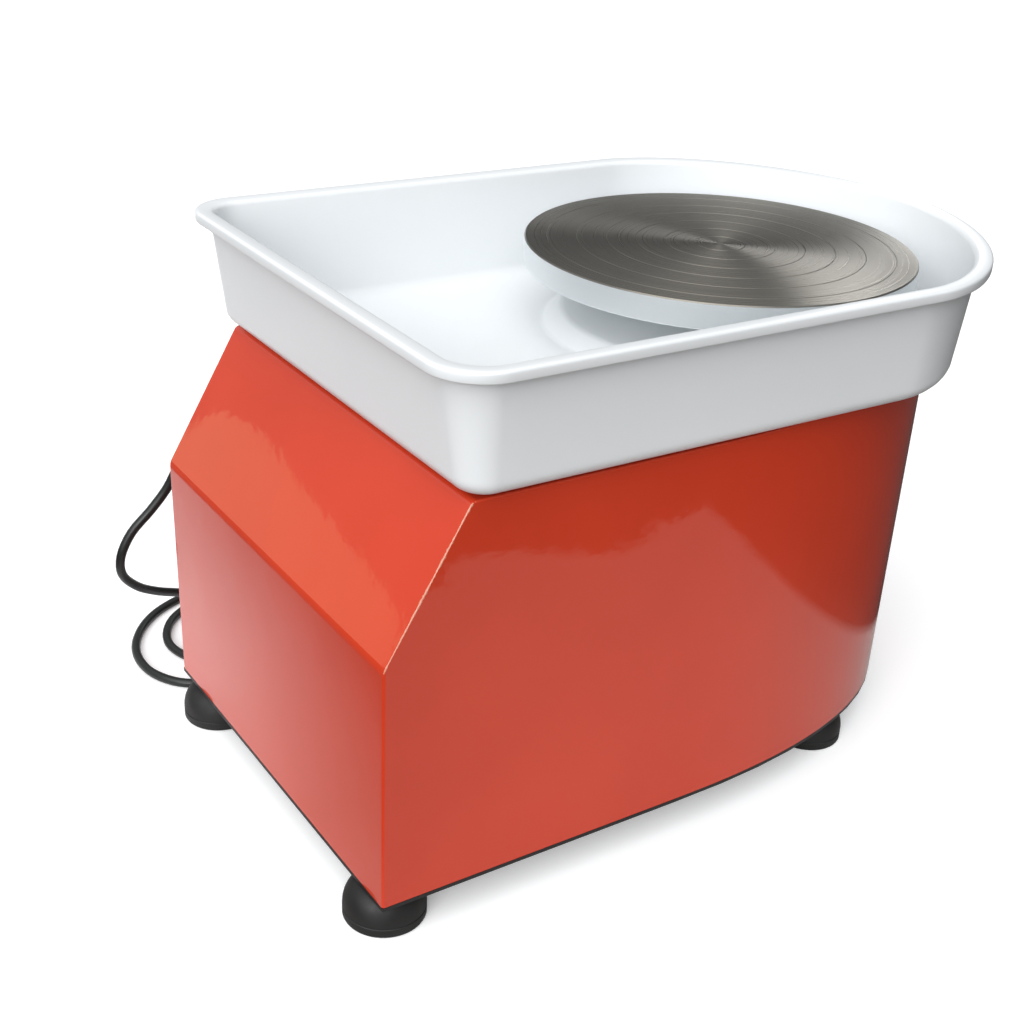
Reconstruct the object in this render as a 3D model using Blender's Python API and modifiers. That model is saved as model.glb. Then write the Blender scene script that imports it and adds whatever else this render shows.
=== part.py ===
"""Tabletop electric pottery wheel: sheet-steel housing with one slanted end and one rounded end, a
moulded splash basin, an aluminium wheel head on a belt-driven spindle, and four rubber feet.

Metres, +Z up.  +X runs to the rounded end, -Y is the plain long side and +Y the control side.
The origin is the bottom centre of the object's box, without its mains cord."""

import math

import bmesh
import bpy
from mathutils import Matrix, Vector

# ---------------------------------------------------------------- driving dimensions
BASE_LENGTH = 0.4699
BASE_WIDTH = 0.2921
BASIN_LENGTH = 0.4648
BASIN_WIDTH = 0.3353
BASIN_WALL_HEIGHT = 0.0660
OVERALL_HEIGHT = 0.3454
HEAD_DIAMETER = 0.2515
GAP = 0.0003

# housing
SHEET = 0.0015
BASE_PLATE = 0.0025
GROUND_CLEARANCE = 0.0245
SLANT_START = 0.1830
SLANT_SETBACK = 0.0506
NOSE_LENGTH = 0.265
NOSE_POWER = 2.4
NOSE_STEPS = 14
SPINDLE_FROM_END = 0.322
SPINDLE_OPENING_RADIUS = 0.020

# feet
FOOT_RADIUS = 0.0248
FOOT_FROM_END = 0.0155
FOOT_FROM_SIDE = 0.0260
NOSE_FOOT_FROM_END = 0.3635
NOSE_FOOT_FROM_SIDE = 0.04525
FOOT_NECK_RADIUS = 0.013
FOOT_BAND_HEIGHT = 0.007
FOOT_RECESS_RADIUS = 0.0085
FOOT_RECESS_DEPTH = 0.010
SCREW_RADIUS = 0.003
SCREW_HEAD_RADIUS = 0.006
SCREW_HEAD_HEIGHT = 0.004
SCREW_CLEARANCE = 0.0004

# basin
BASIN_SETBACK = 0.026
BASIN_WALL = 0.003
BASIN_CORNER_RADIUS = 0.031
BASIN_NOSE_LENGTH = 0.1447
BASIN_NOSE_POWER = 1.81
BASIN_CORNER_TAPER = 0.8
BASIN_LIP_WIDTH = 0.0085
BASIN_LIP_HEIGHT = 0.0070
BASIN_DRAFT = 0.008
BASIN_SIDE_DRAFT = 0.0035
BASIN_FILLET = 0.007
BASIN_SEAT_HEIGHT = 0.0030
PLATEAU_FOOT_RADIUS = 0.112
PLATEAU_TOP_RADIUS = 0.100
PLATEAU_HEIGHT = 0.010
COLLAR_BORE_RADIUS = 0.029
COLLAR_WALL = 0.003
COLLAR_HEIGHT = 0.0316
PAD_RADIUS = 0.006
PAD_FROM_END = 0.088
PAD_FROM_SIDE = 0.042
NOSE_PAD_FROM_SPINDLE = 0.0694
NOSE_PAD_RING = 0.1265

# wheel head and hub
HEAD_DROP = 0.0146
HEAD_RIM_DEPTH = 0.0163
HEAD_RIM_WALL = 0.014
HEAD_PLATE = 0.009
HEAD_CHAMFER = 0.0006
HUB_RADIUS = 0.024
HUB_LENGTH = 0.022
HUB_HEADROOM = 0.0025
PIN_RADIUS = 0.003
PIN_HALF_LENGTH = 0.018
PIN_FROM_HUB_FOOT = 0.0045

# spindle, bearings and bearing housing
SPINDLE_RADIUS = 0.010
SPINDLE_COLLAR_RADIUS = 0.0135
SPINDLE_COLLAR_HEIGHT = 0.006
SPINDLE_THREAD_RADIUS = 0.008
RUNNING_GAP = 0.0004
BEARING_RADIUS = 0.0235
BEARING_HEIGHT = 0.014
BEARING_RACE = 0.0048
BEARING_SHOULDER_RADIUS = 0.0195
BEARING_HOUSING_RADIUS = 0.032
BEARING_HOUSING_LENGTH = 0.070
BEARING_FLANGE_RADIUS = 0.050
BEARING_FLANGE = 0.006
BEARING_SCREW_RING = 0.041
BEARING_SCREW_COUNT = 3
BEARING_SCREW_START = math.radians(20)
DECK_PLATE = 0.004
DECK_HALF_WIDTH = 0.075
DECK_BEYOND_SPINDLE = 0.060
DECK_BEYOND_MOTOR = 0.064
DECK_CORNER = 0.012

# belt drive and motor
PULLEY_DISTANCE = 0.160
SPINDLE_PULLEY_RADIUS = 0.068
MOTOR_PULLEY_RADIUS = 0.0145
PULLEY_FLANGE = 0.0035
PULLEY_FLANGE_WIDTH = 0.002
BELT_WIDTH = 0.010
BELT_THICKNESS = 0.003
BELT_SIDE_GAP = 0.001
PULLEY_WEB = 0.004
PULLEY_RIM = 0.005
PULLEY_HUB_RADIUS = 0.018
PULLEY_BELOW_BEARING = 0.004
NUT_HEIGHT = 0.008
NUT_ACROSS_RADIUS = 0.014
MOTOR_RADIUS = 0.042
MOTOR_LENGTH = 0.092
MOTOR_CAP_LENGTH = 0.012
MOTOR_SHAFT_RADIUS = 0.006
MOTOR_PLATE = 0.003
MOTOR_PLATE_HALF = 0.056
MOTOR_POST_OFFSET = 0.048
MOTOR_POST_RADIUS = 0.005
MOTOR_PLATE_BELOW_PULLEY = 0.004

# electronics on the base plate
BOARD_SIZE = (0.085, 0.095, 0.0016)
BOARD_FROM_END = 0.022
BOARD_FROM_SIDE = 0.020
BOARD_POST_HEIGHT = 0.010
SINK_SIZE = (0.060, 0.034, 0.030)
SINK_FINS = 6
SINK_FIN = 0.003
SINK_BASE = 0.005
SUPPLY_SIZE = (0.100, 0.080, 0.042)
SUPPLY_FROM_END = 0.232
SUPPLY_FROM_SIDE = 0.024

# control panel on the +Y side
PANEL_FROM_END = 0.075
PANEL_WIDTH = 0.130
PANEL_HEIGHT = 0.086
PANEL_LOW = 0.102
PANEL_THICKNESS = 0.002
PANEL_OVERLAP = 0.007
POWER_SWITCH = (0.0120, 0.0150)
DIRECTION_SWITCH = (0.0085, 0.0115)
SWITCH_BEZEL = 0.002
SWITCH_BEZEL_DEPTH = 0.002
SWITCH_BODY_DEPTH = 0.018
SWITCH_WALL = 0.0012
ROCKER_POCKET = 0.0075
ROCKER_TILT = math.radians(8)
KNOB_RADIUS = 0.0115
KNOB_LENGTH = 0.013
POT_RADIUS = 0.008
POT_LENGTH = 0.010
POT_BUSH_RADIUS = 0.0040
POT_SHAFT_RADIUS = 0.0030
POT_BUSH_LENGTH = 0.0022
FUSE_RADIUS = 0.0065
FUSE_CAP_RADIUS = 0.0085
FUSE_CAP_LENGTH = 0.007
FUSE_BODY_LENGTH = 0.026
SOCKET_RADIUS = 0.0095
SOCKET_FLANGE_RADIUS = 0.0125
SOCKET_BORE_RADIUS = 0.0065
SOCKET_LENGTH = 0.020
SOCKET_FLOOR = 0.003

# mains cord
CORD_RADIUS = 0.00325
GLAND_FROM_END = 0.032
GLAND_HEIGHT = 0.172
GLAND_FLANGE_RADIUS = 0.0095
GLAND_NECK_RADIUS = 0.0070
GLAND_TIP_RADIUS = 0.0046
GLAND_FLANGE = 0.003
GLAND_REACH = 0.0223
GLAND_INSIDE = 0.008
COIL_RADIUS = 0.036
COIL_TURNS = 2
COIL_LIFT = 0.0016
COIL_CENTRE = (-0.0505, 0.2490)
CORD_SPACING = 2.6 * CORD_RADIUS * 2

# ---------------------------------------------------------------- places that follow from them
FOOT_OVERHANG = max(FOOT_RADIUS - FOOT_FROM_END, 0.0)
OVERALL_LENGTH = FOOT_OVERHANG + max(BASE_LENGTH, BASIN_SETBACK + BASIN_LENGTH)
END_X = FOOT_OVERHANG - OVERALL_LENGTH / 2
NOSE_X = END_X + BASE_LENGTH
SIDE_Y = BASE_WIDTH / 2
SPINDLE_X = END_X + SPINDLE_FROM_END
MOTOR_X = SPINDLE_X - PULLEY_DISTANCE

PLATE_TOP = GROUND_CLEARANCE + BASE_PLATE
SHELL_LOW = PLATE_TOP + GAP
BASIN_UNDER = OVERALL_HEIGHT - BASIN_LIP_HEIGHT - BASIN_WALL_HEIGHT
BASIN_FLOOR = BASIN_UNDER + BASIN_WALL
SHELL_TOP = BASIN_UNDER - BASIN_SEAT_HEIGHT
DECK_TOP = SHELL_TOP - SHEET - GAP
DECK_LOW = DECK_TOP - DECK_PLATE
BEARING_TOP = DECK_LOW - GAP
BEARING_LOW = BEARING_TOP - BEARING_HOUSING_LENGTH
SEAT_DEPTH = BEARING_HEIGHT + 2 * GAP
HEAD_TOP = OVERALL_HEIGHT - HEAD_DROP
HEAD_UNDER = HEAD_TOP - HEAD_PLATE
HUB_TOP = HEAD_UNDER - GAP
HUB_LOW = HUB_TOP - HUB_LENGTH
SPINDLE_TOP = HUB_TOP - HUB_HEADROOM
PIN_Z = HUB_LOW + PIN_FROM_HUB_FOOT
PULLEY_TOP = BEARING_LOW - PULLEY_BELOW_BEARING
PULLEY_HALF = BELT_WIDTH / 2 + BELT_SIDE_GAP + PULLEY_FLANGE_WIDTH
BELT_Z = PULLEY_TOP - PULLEY_HALF
PULLEY_LOW = BELT_Z - PULLEY_HALF
MOTOR_PLATE_TOP = PULLEY_LOW - MOTOR_PLATE_BELOW_PULLEY
MOTOR_PLATE_LOW = MOTOR_PLATE_TOP - MOTOR_PLATE
MOTOR_TOP = MOTOR_PLATE_LOW - GAP
MOTOR_LOW = MOTOR_TOP - MOTOR_CAP_LENGTH - GAP - MOTOR_LENGTH
PANEL_FACE = SIDE_Y + GAP + PANEL_THICKNESS
PANEL_X = END_X + PANEL_FROM_END
GLAND_X = END_X + GLAND_FROM_END


# ---------------------------------------------------------------- scene and materials
for old in list(bpy.data.objects):
    bpy.data.objects.remove(old, do_unlink=True)

parts = bpy.data.collections.new("pottery_wheel")
cutters = bpy.data.collections.new("cutters")
bpy.context.scene.collection.children.link(parts)
bpy.context.scene.collection.children.link(cutters)


def material(name, colour, roughness, metallic=0.0):
    made = bpy.data.materials.new(name)
    made.use_nodes = True
    shader = made.node_tree.nodes["Principled BSDF"]
    shader.inputs["Base Color"].default_value = (*colour, 1.0)
    shader.inputs["Roughness"].default_value = roughness
    shader.inputs["Metallic"].default_value = metallic
    return made


ORANGE_PAINT = material("orange_paint", (0.62, 0.08, 0.03), 0.2)
WHITE_ABS = material("white_abs", (0.80, 0.83, 0.85), 0.3)
TURNED_ALUMINIUM = material("turned_aluminium", (0.62, 0.60, 0.58), 0.3, 1.0)
BLACK_STEEL = material("black_steel", (0.02, 0.02, 0.02), 0.45)
ZINC_STEEL = material("zinc_steel", (0.50, 0.50, 0.52), 0.35, 1.0)
GROUND_STEEL = material("ground_steel", (0.55, 0.55, 0.56), 0.25, 1.0)
BLACK_RUBBER = material("black_rubber", (0.015, 0.015, 0.015), 0.6)
BLACK_PLASTIC = material("black_plastic", (0.02, 0.02, 0.02), 0.35)
CORD_PVC = material("cord_pvc", (0.012, 0.012, 0.012), 0.4)
BOARD_GREEN = material("board_laminate", (0.02, 0.16, 0.06), 0.5)
MOTOR_GREY = material("motor_grey", (0.20, 0.21, 0.22), 0.4, 0.6)


def place(name, mesh, finish, smooth=True):
    """Puts a finished mesh in the scene as one named sub-part."""
    mesh.materials.append(finish)
    if smooth:
        mesh.shade_smooth()
        mesh.set_sharp_from_angle(angle=math.radians(35))
    piece = bpy.data.objects.new(name, mesh)
    parts.objects.link(piece)
    return piece


def as_cutter(piece):
    """Moves a solid to the cutters: drawn as wire and left out of the object."""
    parts.objects.unlink(piece)
    cutters.objects.link(piece)
    piece.hide_render = True
    piece.display_type = "WIRE"
    return piece


def boolean(piece, tool, operation="DIFFERENCE"):
    change = piece.modifiers.new(tool.name, "BOOLEAN")
    change.operation = operation
    change.solver = "EXACT"
    change.object = tool
    return piece


def box(name, low, high, finish):
    """A block between two corners."""
    shape = bmesh.new()
    bmesh.ops.create_cube(shape, size=1.0)
    middle = (Vector(low) + Vector(high)) / 2
    size = Vector(high) - Vector(low)
    bmesh.ops.scale(shape, vec=size, verts=shape.verts)
    bmesh.ops.translate(shape, vec=middle, verts=shape.verts)
    mesh = bpy.data.meshes.new(name)
    shape.to_mesh(mesh)
    shape.free()
    return place(name, mesh, finish, smooth=False)


def rod(name, start, end, radius, finish, sides=16):
    """A round bar from one point to another."""
    start, end = Vector(start), Vector(end)
    shape = bmesh.new()
    bmesh.ops.create_cone(shape, cap_ends=True, segments=sides, radius1=radius, radius2=radius,
                          depth=(end - start).length)
    turn = (end - start).to_track_quat("Z", "Y").to_matrix().to_4x4()
    bmesh.ops.transform(shape, matrix=Matrix.Translation((start + end) / 2) @ turn, verts=shape.verts)
    mesh = bpy.data.meshes.new(name)
    shape.to_mesh(mesh)
    shape.free()
    return place(name, mesh, finish)


def turned(name, profile, centre, finish, steps=28, ring=False, axis="Z"):
    """A turned piece.  The profile holds (radius, height) down the outer side, top to bottom; a ring's
    profile goes on up its bore and closes.  On axis "Y" the profile's height runs along +Y."""
    mesh = bpy.data.meshes.new(name)
    count = len(profile)
    edges = [(i, i + 1) for i in range(count - 1)]
    if ring:
        edges.append((count - 1, 0))
    mesh.from_pydata([(radius, 0.0, height) for radius, height in profile], edges, [])
    guide = bpy.data.objects.new(name, mesh)
    parts.objects.link(guide)
    lathe = guide.modifiers.new("lathe", "SCREW")
    lathe.steps = lathe.render_steps = steps
    lathe.use_merge_vertices = True
    lathe.merge_threshold = 0.00002
    lathe.use_smooth_shade = True
    done = bpy.data.meshes.new_from_object(guide.evaluated_get(bpy.context.evaluated_depsgraph_get()))
    bpy.data.objects.remove(guide, do_unlink=True)
    move = Matrix.Translation(centre)
    if axis == "Y":
        move = move @ Matrix.Rotation(-math.pi / 2, 4, "X")
    done.transform(move)
    done.name = name
    return place(name, done, finish)


def slab(name, outlines, low, high, finish, plane="XY"):
    """A flat piece: the first outline is its edge and the others are holes.  It lies in XY with its
    thickness up Z, or in XZ with its thickness along +Y, or in YZ with its thickness along +X."""
    curve = bpy.data.curves.new(name, "CURVE")
    curve.dimensions = "2D"
    curve.fill_mode = "BOTH"
    curve.extrude = (high - low) / 2
    for outline in outlines:
        spline = curve.splines.new("POLY")
        spline.points.add(len(outline) - 1)
        for point, (u, v) in zip(spline.points, outline):
            point.co = (u, v, 0.0, 1.0)
        spline.use_cyclic_u = True
    guide = bpy.data.objects.new(name, curve)
    parts.objects.link(guide)
    mesh = bpy.data.meshes.new_from_object(guide.evaluated_get(bpy.context.evaluated_depsgraph_get()))
    bpy.data.objects.remove(guide, do_unlink=True)
    middle = (low + high) / 2
    turns = {
        "XY": Matrix.Translation((0, 0, middle)),
        "XZ": Matrix.Translation((0, middle, 0)) @ Matrix.Rotation(math.pi / 2, 4, "X"),
        "YZ": Matrix.Translation((middle, 0, 0))
        @ Matrix(((0, 0, 1, 0), (1, 0, 0, 0), (0, 1, 0, 0), (0, 0, 0, 1))),
    }
    mesh.transform(turns[plane])
    shape = bmesh.new()
    shape.from_mesh(mesh)
    bmesh.ops.remove_doubles(shape, verts=shape.verts, dist=0.00001)
    bmesh.ops.recalc_face_normals(shape, faces=shape.faces)
    shape.to_mesh(mesh)
    shape.free()
    mesh.name = name
    return place(name, mesh, finish)


def circle(centre, radius, sides=20):
    return [
        (centre[0] + radius * math.cos(math.tau * i / sides), centre[1] + radius * math.sin(math.tau * i / sides))
        for i in range(sides)
    ]


def rectangle(low, high):
    return [(low[0], low[1]), (high[0], low[1]), (high[0], high[1]), (low[0], high[1])]


def rounded_rectangle(low, high, radius, steps=4):
    """A rectangle with round corners, counter-clockwise."""
    corners = [
        (high[0] - radius, low[1] + radius, -90),
        (high[0] - radius, high[1] - radius, 0),
        (low[0] + radius, high[1] - radius, 90),
        (low[0] + radius, low[1] + radius, 180),
    ]
    outline = []
    for x, y, start in corners:
        for i in range(steps + 1):
            angle = math.radians(start + 90 * i / steps)
            outline.append((x + radius * math.cos(angle), y + radius * math.sin(angle)))
    return outline


def base_outline(inset):
    """The housing's footprint, drawn in by an inset: a square end, and a nose of superellipse form."""
    half = SIDE_Y - inset
    nose = NOSE_LENGTH - inset
    shoulder = NOSE_X - NOSE_LENGTH
    outline = [(END_X + inset, half), (END_X + inset, -half)]
    for i in range(2 * NOSE_STEPS + 1):
        angle = -math.pi / 2 + math.pi * i / (2 * NOSE_STEPS)
        along = abs(math.cos(angle)) ** (2 / NOSE_POWER)
        across = math.copysign(abs(math.sin(angle)) ** (2 / NOSE_POWER), angle)
        outline.append((shoulder + nose * along, half * across))
    return outline


# ---------------------------------------------------------------- housing, base plate and feet
def slant_wedge(name, inset):
    """What the slanted end takes off the housing; an inset moves it in at right angles to the slant."""
    rise = SHELL_TOP - SLANT_START
    length = math.hypot(rise, SLANT_SETBACK)
    dx, dz = inset * rise / length, -inset * SLANT_SETBACK / length
    reach = 0.6
    low = (END_X + dx - reach * SLANT_SETBACK, SLANT_START + dz - reach * rise)
    high = (END_X + dx + SLANT_SETBACK * (1 + reach), SLANT_START + dz + rise * (1 + reach))
    back = (low[0] - rise, high[1] + SLANT_SETBACK)
    wedge = slab(name, [[low, high, back]], -BASE_WIDTH, BASE_WIDTH, BLACK_STEEL, "XZ")
    return as_cutter(wedge)


def housing():
    shell = slab("housing_shell", [base_outline(0.0)], SHELL_LOW, SHELL_TOP, ORANGE_PAINT)
    boolean(shell, slant_wedge("slant_outside", 0.0))
    hollow = slab("housing_hollow", [base_outline(SHEET)], SHELL_LOW - 0.02, SHELL_TOP - SHEET, BLACK_STEEL)
    as_cutter(boolean(hollow, slant_wedge("slant_inside", SHEET)))
    boolean(shell, hollow)
    opening = rod("spindle_opening", (SPINDLE_X, 0, DECK_TOP), (SPINDLE_X, 0, SHELL_TOP + 0.01),
                  SPINDLE_OPENING_RADIUS, BLACK_STEEL, 24)
    boolean(shell, as_cutter(opening))
    window = box("panel_window",
                 (PANEL_X + PANEL_OVERLAP, SIDE_Y - 0.01, PANEL_LOW + PANEL_OVERLAP),
                 (PANEL_X + PANEL_WIDTH - PANEL_OVERLAP, SIDE_Y + 0.01, PANEL_LOW + PANEL_HEIGHT - PANEL_OVERLAP),
                 BLACK_STEEL)
    boolean(shell, as_cutter(window))
    gland_hole = rod("gland_hole", (GLAND_X, SIDE_Y - 0.01, GLAND_HEIGHT), (GLAND_X, SIDE_Y + 0.01, GLAND_HEIGHT),
                     GLAND_NECK_RADIUS + GAP, BLACK_STEEL)
    boolean(shell, as_cutter(gland_hole))


FOOT_PLACES = [
    ("front_end", END_X + FOOT_FROM_END, -SIDE_Y + FOOT_FROM_SIDE),
    ("back_end", END_X + FOOT_FROM_END, SIDE_Y - FOOT_FROM_SIDE),
    ("front_nose", END_X + NOSE_FOOT_FROM_END, -SIDE_Y + NOSE_FOOT_FROM_SIDE),
    ("back_nose", END_X + NOSE_FOOT_FROM_END, SIDE_Y - NOSE_FOOT_FROM_SIDE),
]


def base_plate():
    holes = [circle((x, y), SCREW_RADIUS + SCREW_CLEARANCE, 12) for _, x, y in FOOT_PLACES]
    slab("base_plate", [base_outline(0.0), *holes], GROUND_CLEARANCE, PLATE_TOP, BLACK_STEEL)


def foot(name, x, y):
    """A rubber dome with a straight band at the floor, recessed below for its screw."""
    top = GROUND_CLEARANCE - GAP
    profile = [(FOOT_NECK_RADIUS, top)]
    dome_steps = 4
    for i in range(1, dome_steps + 1):
        angle = math.pi / 2 * (1 - i / dome_steps)
        radius = FOOT_NECK_RADIUS + (FOOT_RADIUS - FOOT_NECK_RADIUS) * math.cos(angle)
        profile.append((radius, FOOT_BAND_HEIGHT + (top - FOOT_BAND_HEIGHT) * math.sin(angle)))
    shank = SCREW_RADIUS + SCREW_CLEARANCE
    profile += [(FOOT_RADIUS - 0.0006, 0.0015), (FOOT_RADIUS - 0.003, 0.0)]
    profile += [(FOOT_RECESS_RADIUS, 0.0), (FOOT_RECESS_RADIUS, FOOT_RECESS_DEPTH)]
    profile += [(shank, FOOT_RECESS_DEPTH), (shank, top)]
    turned("foot_" + name, profile, (x, y, 0), BLACK_RUBBER, 24, ring=True)


def screw(name, x, y, head_z, tip_z, finish=ZINC_STEEL):
    """A pan-head screw standing on its head."""
    shoulder = head_z + SCREW_HEAD_HEIGHT
    profile = [(0.0, tip_z), (SCREW_RADIUS, tip_z), (SCREW_RADIUS, shoulder), (SCREW_HEAD_RADIUS, shoulder),
               (SCREW_HEAD_RADIUS, head_z + 0.001), (SCREW_HEAD_RADIUS - 0.001, head_z), (0.0, head_z)]
    turned(name, profile, (x, y, 0), finish, 12)


def feet():
    for name, x, y in FOOT_PLACES:
        foot(name, x, y)
        screw("foot_screw_" + name, x, y, FOOT_RECESS_DEPTH - GAP - SCREW_HEAD_HEIGHT, PLATE_TOP + 0.005)


# ---------------------------------------------------------------- basin
def basin_outline(inset, widen=0.0):
    """The basin's plan, drawn in by an inset: two round corners, straight sides and a superellipse
    nose. The corners tighten as the plan draws in. Its long sides can stand out wider than that."""
    half = BASIN_WIDTH / 2 - inset + widen
    low_x = END_X + BASIN_SETBACK + inset
    nose_x = END_X + BASIN_SETBACK + BASIN_LENGTH - BASIN_NOSE_LENGTH
    radius = BASIN_CORNER_RADIUS - BASIN_CORNER_TAPER * inset
    outline = []
    for i in range(6):
        outline.append((low_x, half - radius - (2 * half - 2 * radius) * (i + 1) / 7))
    for i in range(6):
        angle = math.pi + math.pi / 2 * i / 5
        outline.append((low_x + radius + radius * math.cos(angle), -half + radius + radius * math.sin(angle)))
    for i in range(6):
        outline.append((low_x + radius + (nose_x - low_x - radius) * (i + 1) / 7, -half))
    for i in range(29):
        angle = -math.pi / 2 + math.pi * i / 28
        along = abs(math.cos(angle)) ** (2 / BASIN_NOSE_POWER)
        across = math.copysign(abs(math.sin(angle)) ** (2 / BASIN_NOSE_POWER), angle)
        outline.append((nose_x + (BASIN_NOSE_LENGTH - inset) * along, half * across))
    for i in range(6):
        outline.append((nose_x - (nose_x - low_x - radius) * (i + 1) / 7, half))
    for i in range(6):
        angle = math.pi / 2 + math.pi / 2 * i / 5
        outline.append((low_x + radius + radius * math.cos(angle), half - radius + radius * math.sin(angle)))
    return outline


def basin():
    """One shell, lofted from the round collar at the spindle out to the drafted wall and its lip."""
    plan = basin_outline(0.0)
    bearings = [math.atan2(y, x - SPINDLE_X) for x, y in plan]

    def round_ring(radius, z):
        return [(SPINDLE_X + radius * math.cos(a), radius * math.sin(a), z) for a in bearings]

    def plan_ring(inset, z, widen=0.0):
        return [(x, y, z) for x, y in basin_outline(inset, widen)]

    rim = OVERALL_HEIGHT
    plateau = BASIN_FLOOR + PLATEAU_HEIGHT
    wall_in = BASIN_LIP_WIDTH + BASIN_WALL
    foot_in = wall_in + BASIN_DRAFT
    foot_out = BASIN_LIP_WIDTH + BASIN_DRAFT
    widen = BASIN_DRAFT - BASIN_SIDE_DRAFT
    fillet = [math.radians(a) for a in (0, 30, 60, 90)]
    collar_top = BASIN_FLOOR + COLLAR_HEIGHT
    rings = [
        round_ring(COLLAR_BORE_RADIUS, collar_top),
        round_ring(COLLAR_BORE_RADIUS + COLLAR_WALL, collar_top),
        round_ring(COLLAR_BORE_RADIUS + COLLAR_WALL, plateau),
        round_ring(PLATEAU_TOP_RADIUS, plateau),
        round_ring(PLATEAU_FOOT_RADIUS, BASIN_FLOOR),
    ]
    for angle in reversed(fillet):
        draw_in = foot_in + BASIN_FILLET * (1 - math.cos(angle))
        rings.append(plan_ring(draw_in, BASIN_FLOOR + BASIN_FILLET * (1 - math.sin(angle)), widen))
    rings += [
        plan_ring(wall_in, rim - BASIN_LIP_HEIGHT),
        plan_ring(wall_in - 0.002, rim),
        plan_ring(0.0015, rim),
        plan_ring(0.0, rim - 0.0015),
        plan_ring(0.0, rim - BASIN_LIP_HEIGHT),
        plan_ring(BASIN_LIP_WIDTH, rim - BASIN_LIP_HEIGHT),
    ]
    outer_fillet = BASIN_FILLET + BASIN_WALL
    for angle in fillet:
        draw_in = foot_out + outer_fillet * (1 - math.cos(angle))
        rings.append(plan_ring(draw_in, BASIN_UNDER + outer_fillet * (1 - math.sin(angle)), widen))
    rings += [
        round_ring(PLATEAU_FOOT_RADIUS - 0.001, BASIN_UNDER),
        round_ring(PLATEAU_TOP_RADIUS - 0.001, plateau - BASIN_WALL),
        round_ring(COLLAR_BORE_RADIUS, plateau - BASIN_WALL),
    ]
    shape = bmesh.new()
    loops = [[shape.verts.new(point) for point in ring] for ring in rings]
    count = len(bearings)
    for near, far in zip(loops, loops[1:] + loops[:1]):
        for i in range(count):
            j = (i + 1) % count
            shape.faces.new((near[i], near[j], far[j], far[i]))
    bmesh.ops.recalc_face_normals(shape, faces=shape.faces)
    mesh = bpy.data.meshes.new("basin")
    shape.to_mesh(mesh)
    shape.free()
    place("basin", mesh, WHITE_ABS)


def basin_pads():
    pad_y = SIDE_Y - PAD_FROM_SIDE
    nose_y = math.sqrt(NOSE_PAD_RING ** 2 - NOSE_PAD_FROM_SPINDLE ** 2)
    places = [
        ("front_end", END_X + PAD_FROM_END, -pad_y),
        ("back_end", END_X + PAD_FROM_END, pad_y),
        ("front_nose", SPINDLE_X + NOSE_PAD_FROM_SPINDLE, -nose_y),
        ("back_nose", SPINDLE_X + NOSE_PAD_FROM_SPINDLE, nose_y),
    ]
    for name, x, y in places:
        rod("basin_pad_" + name, (x, y, SHELL_TOP + GAP), (x, y, BASIN_UNDER - GAP), PAD_RADIUS, BLACK_RUBBER)


# ---------------------------------------------------------------- wheel head, hub and spindle
def wheel_head():
    radius = HEAD_DIAMETER / 2
    foot_z = HEAD_TOP - HEAD_RIM_DEPTH
    inner = radius - HEAD_RIM_WALL
    profile = [(0.0, HEAD_TOP), (radius - HEAD_CHAMFER, HEAD_TOP), (radius, HEAD_TOP - HEAD_CHAMFER),
               (radius, foot_z + HEAD_CHAMFER), (radius - HEAD_CHAMFER, foot_z), (inner, foot_z),
               (inner, HEAD_UNDER), (0.0, HEAD_UNDER)]
    turned("wheel_head", profile, (SPINDLE_X, 0, 0), TURNED_ALUMINIUM, 72)


def head_hub():
    """The hub slides on the spindle's nose; a slot across its foot drops over the drive pin."""
    bore = SPINDLE_RADIUS + RUNNING_GAP
    profile = [(HUB_RADIUS, HUB_TOP), (HUB_RADIUS, HUB_LOW + 0.001), (HUB_RADIUS - 0.001, HUB_LOW),
               (bore, HUB_LOW), (bore, HUB_TOP)]
    hub = turned("head_hub", profile, (SPINDLE_X, 0, 0), TURNED_ALUMINIUM, 28, ring=True)
    side = PIN_RADIUS + RUNNING_GAP
    slot = box("pin_slot", (SPINDLE_X - side, -HUB_RADIUS - 0.002, HUB_LOW - 0.002),
               (SPINDLE_X + side, HUB_RADIUS + 0.002, PIN_Z + side), BLACK_STEEL)
    boolean(hub, as_cutter(slot))


def spindle():
    """Ground shaft: nose for the hub, a collar on the upper bearing, and a thread below the pulley."""
    r, collar = SPINDLE_RADIUS, SPINDLE_COLLAR_RADIUS
    collar_low = BEARING_TOP - GAP
    thread_top = PULLEY_LOW - GAP
    thread_low = thread_top - NUT_HEIGHT - 0.004
    profile = [(0.0, SPINDLE_TOP), (r - 0.001, SPINDLE_TOP), (r, SPINDLE_TOP - 0.001),
               (r, collar_low + SPINDLE_COLLAR_HEIGHT), (collar, collar_low + SPINDLE_COLLAR_HEIGHT),
               (collar, collar_low), (r, collar_low), (r, thread_top),
               (SPINDLE_THREAD_RADIUS, thread_top), (SPINDLE_THREAD_RADIUS, thread_low), (0.0, thread_low)]
    shaft = turned("spindle_shaft", profile, (SPINDLE_X, 0, 0), GROUND_STEEL, 28)
    hole = rod("pin_hole", (SPINDLE_X, -0.02, PIN_Z), (SPINDLE_X, 0.02, PIN_Z), PIN_RADIUS + GAP, BLACK_STEEL, 16)
    boolean(shaft, as_cutter(hole))
    rod("drive_pin", (SPINDLE_X, -PIN_HALF_LENGTH, PIN_Z), (SPINDLE_X, PIN_HALF_LENGTH, PIN_Z), PIN_RADIUS,
        GROUND_STEEL, 16)
    nut_top = thread_top - GAP
    bore = SPINDLE_THREAD_RADIUS + GAP
    hexagon = circle((SPINDLE_X, 0), NUT_ACROSS_RADIUS, 6)
    slab("spindle_nut", [hexagon, circle((SPINDLE_X, 0), bore)], nut_top - NUT_HEIGHT, nut_top, ZINC_STEEL)


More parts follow.
